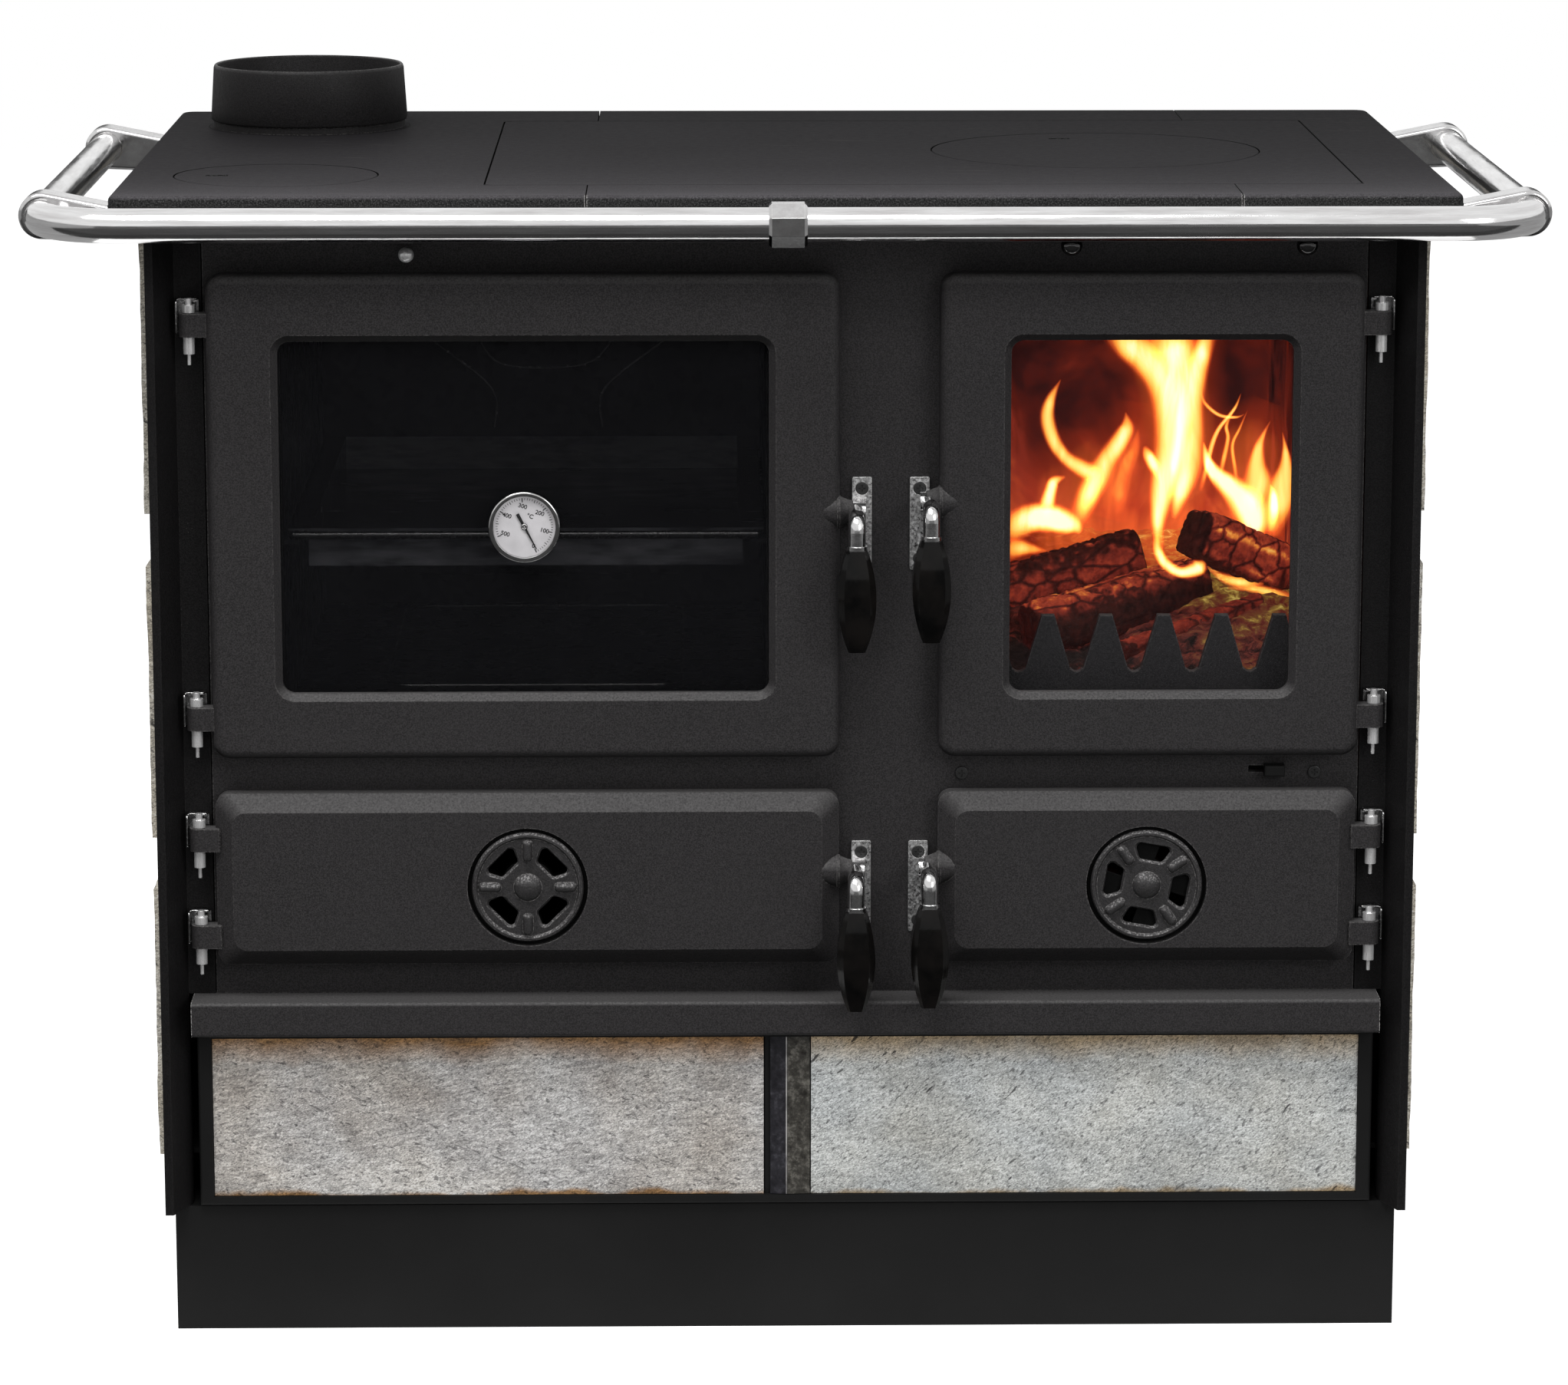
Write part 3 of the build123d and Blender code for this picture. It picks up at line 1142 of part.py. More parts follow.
def make_baking_tray():
    """A pressed tray that drops into the rack; its side rims lie on the side rods."""
    x_span, depth_span = tray_spans()
    rim_under = rack_height() + RACK_ROD
    z_span = (rim_under - TRAY_DEPTH, rim_under + TRAY_WALL)
    tray = open_box(x_span, depth_span, z_span, TRAY_WALL, "top")
    reach = TRAY_CLEARANCE + TRAY_RIM
    for edge, outward in ((x_span[0], -1), (x_span[1], 1)):
        rim_x = sorted((edge - outward * TRAY_WALL, edge + outward * reach))
        tray += block(rim_x, depth_span, (rim_under, rim_under + TRAY_WALL))
    return tray


# ---- firebox ----
def make_firebox_bricks():
    outer_x = inset(FIRE_X, -BRICK_SIDE)
    floor_z = (ASH_CEILING, FLOOR_TOP)
    wall_z = (FLOOR_TOP, BRICK_TOP)
    inner_back = FIRE_BACK - BRICK_BACK
    floor = block(outer_x, (BRICK_FRONT, FIRE_BACK), floor_z)
    hole_x, hole_depth = grate_spans()
    floor -= block(hole_x, hole_depth, inset(floor_z, -1))
    rebate_z = (FLOOR_TOP - GRATE_THICKNESS, FLOOR_TOP + 1)
    floor -= block(inset(hole_x, -GRATE_REBATE), inset(hole_depth, -GRATE_REBATE), rebate_z)
    left = block((outer_x[0], FIRE_X[0]), (BRICK_FRONT, inner_back), wall_z)
    right = block((FIRE_X[1], outer_x[1]), (BRICK_FRONT, inner_back), wall_z)
    back = block(outer_x, (inner_back, FIRE_BACK), wall_z)
    return [floor, left, right, back]


def grate_spans():
    x = middle(FIRE_X)
    depth = middle((BRICK_FRONT, FIRE_BACK - BRICK_BACK))
    hole_x = (x - GRATE_HOLE[0] / 2, x + GRATE_HOLE[0] / 2)
    return hole_x, (depth - GRATE_HOLE[1] / 2, depth + GRATE_HOLE[1] / 2)


def make_fire_grate():
    hole_x, hole_depth = grate_spans()
    z_span = (FLOOR_TOP - GRATE_THICKNESS, FLOOR_TOP)
    fit = GRATE_REBATE - LID_CLEARANCE
    outer_x = inset(hole_x, -fit)
    grate = block(outer_x, inset(hole_depth, -fit), z_span)
    bar = width(hole_x) / (2 * GRATE_SLOTS + 1)
    for slot in range(GRATE_SLOTS):
        start = hole_x[0] + (2 * slot + 1) * bar
        grate -= block((start, start + bar), inset(hole_depth, GRATE_SLOT_END), inset(z_span, -1))
    return grate


def make_fuel_guard():
    """A comb across the firebox mouth that keeps the logs off the door."""
    x_span = inset(FIRE_X, GUARD_CLEARANCE)
    valley_z = FLOOR_TOP + GUARD_BODY
    front = BRICK_FRONT + GUARD_CLEARANCE
    depth = (front, front + GUARD_THICKNESS)
    guard = block(x_span, depth, (FLOOR_TOP, valley_z + TOOTH_HEIGHT))
    low = TOOTH_VALLEY / 2
    high = (TOOTH_PITCH - TOOTH_TOP) / 2
    count = int((width(x_span) - FIRST_TOOTH) / TOOTH_PITCH) + 1
    for tooth in range(-1, count + 1):
        x = x_span[0] + FIRST_TOOTH + (tooth + 0.5) * TOOTH_PITCH
        plane = front_plane(x, depth[1] + 1, valley_z)
        notch = Polygon(
            (low, VALLEY_RISE),
            (high, TOOTH_HEIGHT),
            (high, TOOTH_HEIGHT + 1),
            (-high, TOOTH_HEIGHT + 1),
            (-high, TOOTH_HEIGHT),
            (-low, VALLEY_RISE),
            align=None,
        )
        notch += Pos(0, low) * Circle(low)
        guard -= extrude(plane * notch, GUARD_THICKNESS + 2)
    return guard.solids().sort_by(SortBy.VOLUME)[-1]


def make_lower_boxes():
    """The sheet chambers behind the two low doors; the right one is open under the grate."""
    left_z = inset(LOWER_OPENING_Z, -ASH_WALL)
    left_back = HOB_DEPTH - LEFT_BOX_BACK_MARGIN
    left = open_box(inset(LEFT_BOX_X, -ASH_WALL), (FRAME_BACK, left_back), left_z, ASH_WALL, "front")
    ash_z = (LOWER_OPENING_Z[0] - ASH_WALL, ASH_CEILING)
    ash_depth = (FRAME_BACK, HOB_DEPTH - ASH_BACK_MARGIN)
    ash = open_box(inset(ASH_X, -ASH_WALL), ash_depth, ash_z, ASH_WALL, "front")
    hole_x, hole_depth = grate_spans()
    ash -= block(hole_x, hole_depth, (ASH_CEILING - 2 * ASH_WALL, ASH_CEILING + 1))
    return [left, ash]


def make_ash_pan():
    x_span = inset(ASH_X, PAN_CLEARANCE)
    depth = (PAN_FRONT, HOB_DEPTH - ASH_BACK_MARGIN - PAN_CLEARANCE)
    z_span = (LOWER_OPENING_Z[0], LOWER_OPENING_Z[0] + PAN_HEIGHT)
    pan = open_box(x_span, depth, z_span, PAN_WALL, "top")
    handle_width, reach, height = PAN_HANDLE
    handle_x_span = (middle(x_span) - handle_width / 2, middle(x_span) + handle_width / 2)
    handle_top = z_span[1] - PAN_HANDLE_DROP
    handle_z = (handle_top - height, handle_top)
    handle = block(handle_x_span, (PAN_FRONT - reach, PAN_FRONT), handle_z)
    finger_depth = (PAN_FRONT - reach + PAN_HANDLE_WALL, PAN_FRONT)
    handle -= block(inset(handle_x_span, PAN_HANDLE_WALL), finger_depth, inset(handle_z, -1))
    return pan + handle


# ---- wood drawer ----
def drawer_front_spans():
    half = BODY_HALF - DRAWER_SIDE_MARGIN
    return (-half, half), inset((PLINTH_HEIGHT, LEDGE_BOTTOM), DRAWER_CLEARANCE)


def drawer_tile_spans():
    x_span, z_span = drawer_front_spans()
    inner = inset(x_span, DRAWER_STRIP)
    tile_z = (z_span[0] + DRAWER_BOTTOM_STRIP, z_span[1] - DRAWER_TOP_STRIP)
    return [(inner[0], DRAWER_POST[0]), (DRAWER_POST[1], inner[1])], tile_z


def make_drawer_frame():
    x_span, z_span = drawer_front_spans()
    depth = (DRAWER_FRONT, DRAWER_FRONT + DRAWER_FRONT_THICKNESS)
    frame = block(x_span, depth, z_span)
    frame = fillet(frame.faces().sort_by(Axis.Y)[0].edges(), DRAWER_FRONT_ROUND)
    tiles_x, tile_z = drawer_tile_spans()
    for tile_x in tiles_x:
        frame -= block(inset(tile_x, -TILE_FIT), inset(depth, -1), inset(tile_z, -TILE_FIT))
    strip_depth = (DRAWER_FRONT - 1, DRAWER_FRONT + CENTRE_STRIP_THICKNESS + 1)
    return frame - block(inset(DRAWER_POST, -1), strip_depth, inset(tile_z, -TILE_FIT))


def make_drawer_tiles():
    tiles_x, tile_z = drawer_tile_spans()
    depth = (DRAWER_FRONT + DRAWER_TILE_RECESS, DRAWER_FRONT + DRAWER_FRONT_THICKNESS)
    tiles = []
    for tile_x in tiles_x:
        tile = block(tile_x, depth, tile_z)
        tiles.append(fillet(tile.faces().sort_by(Axis.Y)[0].edges(), DRAWER_TILE_ROUND))
    return tiles


def make_centre_strip():
    """Two bevelled halves that meet in a fine upright line."""
    _, tile_z = drawer_tile_spans()
    depth = (DRAWER_FRONT + 1, DRAWER_FRONT + 1 + CENTRE_STRIP_THICKNESS)
    x0, x1 = inset(CENTRE_STRIP, TILE_FIT)
    shoulder = depth[0] + CENTRE_STRIP_BEVEL
    outline = Polygon(
        (x0, depth[1]),
        (x0, shoulder),
        (CENTRE_SEAM_X, depth[0]),
        (x1, shoulder),
        (x1, depth[1]),
        align=None,
    )
    base = Plane(origin=(0, FRONT_Y, tile_z[0]))
    return extrude(base * outline, width(tile_z))


def make_drawer_box():
    half = BODY_HALF - DRAWER_BOX_SIDE
    front = DRAWER_FRONT + DRAWER_FRONT_THICKNESS
    depth = (front, HOB_DEPTH - DRAWER_BOX_BACK_MARGIN)
    low = PLINTH_HEIGHT + DRAWER_BOX_BOTTOM
    drawer = open_box((-half, half), depth, (low, low + DRAWER_BOX_HEIGHT), DRAWER_WALL, "top")
    rail_bottom = PLINTH_HEIGHT + SHELF_HEIGHT + SHELF_THICKNESS + GAP
    rail_x = (half, half + DRAWER_RAIL_WIDTH)
    rail_depth = (front + DRAWER_RAIL_START, depth[1])
    rail = block(rail_x, rail_depth, (rail_bottom, rail_bottom + DRAWER_RAIL_HEIGHT))
    return drawer + rail + mirrored(rail)


def make_drawer_runners():
    z_span = (PLINTH_HEIGHT + SHELF_HEIGHT, PLINTH_HEIGHT + SHELF_HEIGHT + SHELF_THICKNESS)
    depth_span = (FRAME_BACK + SHELF_START, BACK_FRONT)
    shelf = block((PANEL_INNER - SHELF_WIDTH, PANEL_INNER), depth_span, z_span)
    return [shelf, mirrored(shelf)]


# ---- assembly ----
def make_nodes():
    shell = hob_shell()
    side_panel = make_side_panel()
    side_tiles = make_side_tiles()
    damper_x, damper_z = damper_place()
    damper = (DAMPER_BALL_DEPTH, DAMPER_BALL, DAMPER_ROD_RADIUS, DAMPER_ROD_END, DAMPER_GATE)
    air_pull = (AIR_BALL_DEPTH, AIR_BALL, AIR_ROD_RADIUS, AIR_ROD_END, AIR_GATE)
    nodes = {
        "plinth": make_plinth(),
        "side_panels": [side_panel, mirrored(side_panel)],
        "side_tiles": side_tiles + [mirrored(tile) for tile in side_tiles],
        "back_panel": make_back_panel(),
        "front_frame": make_front_frame(),
        "ledge": make_ledge(),
        "strike_plates": make_strike_plates(),
        "panel_screws": make_panel_screws(),
        "hob_left_section": make_hob_left(shell),
        "hob_right_section": make_hob_right(shell),
        "hob_strips": make_hob_strips(shell),
        "hob_centre_plate": make_centre_plate(),
        "big_lid": make_lid(BIG_LID_X, BIG_LID_DEPTH, BIG_LID_RADIUS, BIG_SLOT_OFFSET),
        "small_lid": make_lid(SMALL_LID_X, SMALL_LID_DEPTH, SMALL_LID_RADIUS, SMALL_SLOT_OFFSET),
        "flue_collar": make_flue_collar(),
        "hand_rail": make_hand_rail(),
        "rail_brackets": make_rail_brackets(),
        "hinge_brackets": make_hinge_brackets(),
        "hinge_pins": make_hinge_pins(),
        "oven_door_casting": make_window_door("oven", LEFT_DOOR, 1),
        "oven_door_glass": make_glass(LEFT_DOOR, True),
        "oven_glass_clips": make_glass_clips(LEFT_DOOR),
        "oven_door_seal": make_door_seal(LEFT_DOOR),
        "firebox_door_casting": make_window_door("firebox", RIGHT_DOOR, -1),
        "firebox_door_glass": make_glass(RIGHT_DOOR, False),
        "firebox_glass_clips": make_glass_clips(RIGHT_DOOR),
        "firebox_door_seal": make_door_seal(RIGHT_DOOR),
        "lower_left_door_casting": make_lower_door("lower_left", LEFT_DOOR, 1),
        "ash_door_casting": make_lower_door("ash", RIGHT_DOOR, -1),
        "thermometer_case": make_thermometer_case(),
        "thermometer_dial": make_thermometer_dial(),
        "thermometer_lens": make_thermometer_lens(),
        "thermometer_needle": make_needle(),
        "air_wheel_left": make_air_wheel("lower_left", LEFT_DOOR),
        "air_wheel_right": make_air_wheel("ash", RIGHT_DOOR),
        "damper_pull": make_pull(damper_x, damper_z, *damper),
        "air_pull_left": make_pull(air_pull_places()[0], air_pull_height(), *air_pull),
        "air_pull_right": make_pull(air_pull_places()[1], air_pull_height(), *air_pull),
        "air_lever": make_air_lever(),
        "oven_box": make_oven_box(),
        "oven_rack": make_oven_rack(),
        "baking_tray": make_baking_tray(),
        "firebox_bricks": make_firebox_bricks(),
        "fire_grate": make_fire_grate(),
        "fuel_guard": make_fuel_guard(),
        "lower_boxes": make_lower_boxes(),
        "ash_pan": make_ash_pan(),
        "drawer_front_frame": make_drawer_frame(),
        "drawer_tiles": make_drawer_tiles(),
        "drawer_centre_strip": make_centre_strip(),
        "drawer_box": make_drawer_box(),
        "drawer_runners": make_drawer_runners(),
    }
    handles = (("oven", LEFT_DOOR[1], 1), ("firebox", RIGHT_DOOR[0], -1),
               ("lower_left", LEFT_DOOR[1], 1), ("ash", RIGHT_DOOR[0], -1))
    for name, edge, side in handles:
        nodes[name + "_handle_lever"] = make_handle_lever(name, edge, side)
        nodes[name + "_handle_grip"] = make_grip(name, edge, side)
    return nodes


def main():
    os.makedirs("parts", exist_ok=True)
    for name, shape in make_nodes().items():
        solid = Compound(children=shape) if isinstance(shape, list) else shape
        export_step(solid, f"parts/{name}.step")


main()
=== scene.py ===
import json
import math

import bmesh
import bpy
from mathutils import Matrix, Vector, noise

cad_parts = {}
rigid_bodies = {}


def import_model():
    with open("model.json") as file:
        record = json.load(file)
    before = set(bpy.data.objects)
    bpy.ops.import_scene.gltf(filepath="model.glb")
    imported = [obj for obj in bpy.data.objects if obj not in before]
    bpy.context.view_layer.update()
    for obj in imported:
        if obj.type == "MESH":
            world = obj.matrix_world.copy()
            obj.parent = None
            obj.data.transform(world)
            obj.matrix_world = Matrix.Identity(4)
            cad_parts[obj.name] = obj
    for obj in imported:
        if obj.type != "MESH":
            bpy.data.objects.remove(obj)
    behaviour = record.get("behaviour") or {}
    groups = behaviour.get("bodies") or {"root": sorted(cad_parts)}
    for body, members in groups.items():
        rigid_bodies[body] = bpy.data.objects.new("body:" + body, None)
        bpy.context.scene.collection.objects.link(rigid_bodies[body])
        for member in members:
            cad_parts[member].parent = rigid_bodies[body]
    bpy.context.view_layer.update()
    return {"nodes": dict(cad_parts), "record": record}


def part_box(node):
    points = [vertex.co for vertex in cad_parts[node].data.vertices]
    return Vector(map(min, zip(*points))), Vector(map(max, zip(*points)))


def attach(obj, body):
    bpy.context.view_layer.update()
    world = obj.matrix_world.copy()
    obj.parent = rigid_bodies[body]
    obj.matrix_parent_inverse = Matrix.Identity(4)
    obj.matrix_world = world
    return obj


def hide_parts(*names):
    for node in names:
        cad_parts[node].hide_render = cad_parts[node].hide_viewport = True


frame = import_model()

# A wood cookstove's looks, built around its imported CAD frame. The frame is in metres. Sizes here are in
# millimetres, and at() turns them into metres. A depth is counted back from the hob's front edge.
MM = 0.001
FRONT = -267.75
NODES = frame["nodes"]
SCENE = bpy.context.scene

# ---- camera: the photograph's place, found from its perspective ----
PHOTO_FOCUS = 7279
PHOTO_CENTRE = (914.5, -608)
CAMERA = (-62.6, -3980, 1308.8)
AIM_RIGHT = 0.87
AIM_DOWN = 11.6
LENS = 129.8
SENSOR = 36

# ---- places in the stove, as in the CAD ----
FIRE_X = (144, 389.6)
FIRE_DEPTHS = (79, 480)
FIRE_FLOOR = 437.8
BRICK_TOP = 720
DIAL_CENTRE = (-188.6, 607.45)
DIAL_DEPTH = 33
DIAL_RADIUS = 22.4


def at(x, depth, z):
    """A point in metres, from X, the depth behind the hob's front edge, and Z in millimetres."""
    return Vector((x, FRONT + depth, z)) * MM


def seen_at(px, py, depth):
    """X and Z, in millimetres, of what the photograph shows at a pixel, if it is at that depth."""
    scale = (depth - CAMERA[1]) / PHOTO_FOCUS
    return CAMERA[0] + (px - PHOTO_CENTRE[0]) * scale, CAMERA[2] - (py - PHOTO_CENTRE[1]) * scale


# ---- mesh helpers ----
def add_object(name, data):
    thing = bpy.data.objects.new(name, data)
    SCENE.collection.objects.link(thing)
    return thing


def finish_piece(name, bm, body, material, replaces=(), sharp=35):
    """Turns a bmesh into a smooth-shaded piece that rides on a body."""
    bmesh.ops.remove_doubles(bm, verts=bm.verts, dist=0.002 * MM)
    bmesh.ops.recalc_face_normals(bm, faces=bm.faces)
    mesh = bpy.data.meshes.new(name)
    bm.to_mesh(mesh)
    bm.free()
    mesh.shade_smooth()
    mesh.set_sharp_from_angle(angle=math.radians(sharp))
    mesh.materials.append(material)
    piece = add_object(name, mesh)
    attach(piece, body)
    if replaces:
        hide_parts(*replaces)


def loft(bm, rings, closed=True, caps=False):
    """Joins rings of as many points each with quads, and returns their vertices."""
    rows = [[bm.verts.new(point) for point in ring] for ring in rings]
    for low, high in zip(rows, rows[1:]):
        count = len(low)
        for i in range(count if closed else count - 1):
            j = (i + 1) % count
            bm.faces.new((low[i], low[j], high[j], high[i]))
    if caps:
        bm.faces.new(rows[0])
        bm.faces.new(rows[-1])
    return rows


def circle(sides):
    """The cosine and sine of each of as many equal turns."""
    turns = [2 * math.pi * k / sides for k in range(sides)]
    return [(math.cos(turn), math.sin(turn)) for turn in turns]


def lathe(bm, centre, axis, profile, sides=72):
    """Turns a closed profile of (distance along, radius) about an axis; "y" is towards the front."""
    x, depth, z = centre
    rings = []
    for along, radius in [*profile, profile[0]]:
        ring = []
        for cos, sin in circle(sides):
            u, v = radius * cos, radius * sin
            spots = {"x": (x + along, depth + u, z + v), "y": (x + u, depth - along, z + v),
                     "z": (x + u, depth + v, z + along)}
            ring.append(at(*spots[axis]))
        rings.append(ring)
    loft(bm, rings)


def rounded_outline(across, up, corner, steps=5):
    """Points round a rectangle with rounded corners, about its middle."""
    points = []
    for quarter in range(4):
        side_x, side_y = ((1, 1), (-1, 1), (-1, -1), (1, -1))[quarter]
        for k in range(steps + 1):
            turn = math.radians(90 * quarter + 90 * k / steps)
            points.append((side_x * (across / 2 - corner) + corner * math.cos(turn),
                           side_y * (up / 2 - corner) + corner * math.sin(turn)))
    return points


def rounded_block(bm, low, high, axis, corner, edge=0.3):
    """A bar between two corners (x, depth, z), with rounded corners about an axis and softened rims."""
    across, up = [i for i in range(3) if i != axis]
    size = [high[i] - low[i] for i in range(3)]
    rings = []
    for along, inset in ((0, edge), (edge, 0), (size[axis] - edge, 0), (size[axis], edge)):
        outline = rounded_outline(size[across] - 2 * inset, size[up] - 2 * inset, max(corner - inset, 0.05))
        ring = []
        for u, v in outline:
            point = [0] * 3
            point[axis] = low[axis] + along
            point[across] = (low[across] + high[across]) / 2 + u
            point[up] = (low[up] + high[up]) / 2 + v
            ring.append(at(*point))
        rings.append(ring)
    loft(bm, rings, caps=True)


def smooth_line(points, steps):
    """A Catmull-Rom line through points of any number of values, with steps between each two."""
    padded = [points[0], *points, points[-1]]
    line = []
    for a, b, c, d in zip(padded, padded[1:], padded[2:], padded[3:]):
        for k in range(steps):
            t = k / steps
            line.append([0.5 * (2 * q + (r - p) * t + (2 * p - 5 * q + 4 * r - s) * t * t
                                + (3 * q - p - 3 * r + s) * t ** 3) for p, q, r, s in zip(a, b, c, d)])
    line.append(list(points[-1]))
    return line


def grid_block(bm, corner, far_corner, axes, steps, lift):
    """A closed box; its face along the last of axes is a grid, each point moved out by lift(point) mm."""
    across, up, out = axes
    low, high = Vector(corner), Vector(far_corner)
    face = []
    for j in range(steps[1] + 1):
        row = []
        for i in range(steps[0] + 1):
            point = Vector(high)
            point[across] = low[across] + (high[across] - low[across]) * i / steps[0]
            point[up] = low[up] + (high[up] - low[up]) * j / steps[1]
            point[out] = high[out] + lift(point) * MM * (1 if high[out] > low[out] else -1)
            row.append(bm.verts.new(point))
        face.append(row)
    for below, above in zip(face, face[1:]):
        for i in range(steps[0]):
            bm.faces.new((below[i], below[i + 1], above[i + 1], above[i]))
    rim = face[0] + [row[-1] for row in face[1:]] + face[-1][-2::-1] + [row[0] for row in face[-2:0:-1]]
    back = []
    for vertex in rim:
        point = vertex.co.copy()
        point[out] = low[out]
        back.append(bm.verts.new(point))
    for i, vertex in enumerate(rim):
        j = (i + 1) % len(rim)
        bm.faces.new((vertex, rim[j], back[j], back[i]))
    bm.faces.new(back)


# ---- materials ----
def tint(grey, *shares):
    """A colour whose red, green and blue are shares of a grey."""
    return tuple(grey * share for share in shares)


class Nodes:
    """The node tree of a material or world: put() sets or links a socket, and the other calls add nodes."""

    def __init__(self, owner):
        owner.use_nodes = True
        self.tree = owner.node_tree

    def add(self, kind, inputs=None, **settings):
        node = self.tree.nodes.new(kind)
        for key, value in settings.items():
            setattr(node, key, value)
        for key, value in (inputs or {}).items():
            self.put(node.inputs[key], value)
        return node

    def put(self, socket, value):
        if isinstance(value, bpy.types.NodeSocket):
            self.tree.links.new(value, socket)
        else:
            socket.default_value = value

    def math(self, operation, first, second=0):
        node = self.add("ShaderNodeMath", operation=operation)
        self.put(node.inputs[0], first)
        self.put(node.inputs[1], second)
        return node.outputs[0]

    def times(self, first, second):
        return self.math("MULTIPLY", first, second)

    def larger(self, first, second):
        return self.math("MAXIMUM", first, second)

    def span(self, value, low, high, to_low=0, to_high=1):
        inputs = {"Value": value, "From Min": low, "From Max": high, "To Min": to_low, "To Max": to_high}
        return self.add("ShaderNodeMapRange", inputs).outputs[0]

    def shown_rays(self):
        """1 for camera, glossy and transmission rays, 0 for the rays that light things."""
        rays = self.add("ShaderNodeLightPath").outputs
        mirrored = self.larger(rays["Is Camera Ray"], rays["Is Glossy Ray"])
        return self.larger(mirrored, rays["Is Transmission Ray"])


class Finish(Nodes):
    """A material being made, which done() ends."""

    def __init__(self, name, level=0.5):
        self.material = bpy.data.materials.new(name)
        super().__init__(self.material)
        self.shader = self.tree.nodes["Principled BSDF"]
        self.shader.inputs["Specular IOR Level"].default_value = level
        self.place = self.add("ShaderNodeTexCoord").outputs["Object"]

    def done(self, colour, roughness, height=None, depth=0, edge=0, **inputs):
        """The finished material, with a bump of depth and edges rounded to edge, both in millimetres."""
        if height is not None:
            bump = {"Height": height, "Distance": depth * MM}
            if edge:
                bump["Normal"] = self.rounded(edge)
            inputs["Normal"] = self.add("ShaderNodeBump", bump).outputs[0]
        for key, value in {"Base_Color": colour, "Roughness": roughness, **inputs}.items():
            self.put(self.shader.inputs[key.replace("_", " ")], value)
        return self.material

    def turned(self, scale, degrees=(0, 0, 0)):
        """Object coordinates turned about the axes and then stretched."""
        inputs = {"Vector": self.place, "Rotation": tuple(math.radians(angle) for angle in degrees)}
        rotated = self.add("ShaderNodeVectorRotate", inputs, rotation_type="EULER_XYZ")
        return self.add("ShaderNodeMapping", {"Vector": rotated.outputs[0], "Scale": scale}).outputs[0]

    def noise(self, per_metre, detail=4, roughness=0.55, place=None, **inputs):
        inputs.update(Vector=place or self.place, Scale=per_metre, Detail=detail, Roughness=roughness)
        return self.add("ShaderNodeTexNoise", inputs).outputs["Fac"]

    def cells(self, per_metre, place=None, **settings):
        values = {"Vector": place or self.place, "Scale": per_metre}
        return self.add("ShaderNodeTexVoronoi", values, **settings).outputs["Distance"]

    def ramp(self, factor, *stops):
        """A colour ramp from (place, grey or colour) stops."""
        node = self.add("ShaderNodeValToRGB", {"Fac": factor})
        elements = node.color_ramp.elements
        while len(elements) < len(stops):
            elements.new(0.5)
        for element, (place, value) in zip(elements, stops):
            element.position = place
            element.color = (value,) * 3 + (1,) if isinstance(value, (int, float)) else (*value, 1)
        return node.outputs["Color"]

    def mix(self, factor, first, second, blend="MIX"):
        node = self.add("ShaderNodeMix", data_type="RGBA", blend_type=blend)
        for socket, value in zip((node.inputs[0], node.inputs[6], node.inputs[7]), (factor, first, second)):
            self.put(socket, (*value, 1) if isinstance(value, tuple) and len(value) == 3 else value)
        return node.outputs[2]

    def toned(self, tone, other):
        """One colour times another."""
        return self.mix(1, tone, other, "MULTIPLY")

    def capped(self, tone, grey):
        return self.mix(1, tone, (grey,) * 3, "DARKEN")

    def spread(self, value, low, high):
        """A noise's usual values, spread from low to high."""
        return self.span(value, 0.3, 0.7, low, high)

    def axis(self, name):
        return self.add("ShaderNodeSeparateXYZ", {"Vector": self.place}).outputs[name]

    def normal(self):
        return self.add("ShaderNodeNewGeometry").outputs["Normal"]

    def facing(self, name):
        """How far the surface faces along an axis, from -1 to 1."""
        return self.add("ShaderNodeSeparateXYZ", {"Vector": self.normal()}).outputs[name]

    def rounded(self, radius):
        """The normal of edges rounded to that many millimetres."""
        return self.add("ShaderNodeBevel", {"Radius": radius * MM}, samples=6).outputs[0]

    def vectors(self, operation, first, second=None, output=0):
        inputs = {0: first} if second is None else {0: first, 1: second}
        return self.add("ShaderNodeVectorMath", inputs, operation=operation).outputs[output]

    def edges(self, radius):
        """1 on edges within radius millimetres, 0 on flat faces."""
        alike = self.vectors("DOT_PRODUCT", self.rounded(radius), self.normal(), "Value")
        return self.span(alike, 0.99, 0.86)

    def distance(self, centre, squash):
        """Metres from a point given in millimetres, with an axis left out where squash is 0."""
        moved = self.vectors("SUBTRACT", self.place, at(*centre))
        return self.vectors("LENGTH", self.vectors("MULTIPLY", moved, squash), output="Value")

    def line(self, value, where, half):
        """1 where a value in metres is within half a line's width of a place, both in millimetres."""
        apart = self.math("ABSOLUTE", self.math("SUBTRACT", value, where * MM))
        return self.span(apart, half * MM, half * 0.6 * MM)


PIT_RADIUS = 44
PIT_DEPTHS = (36, 37.5)


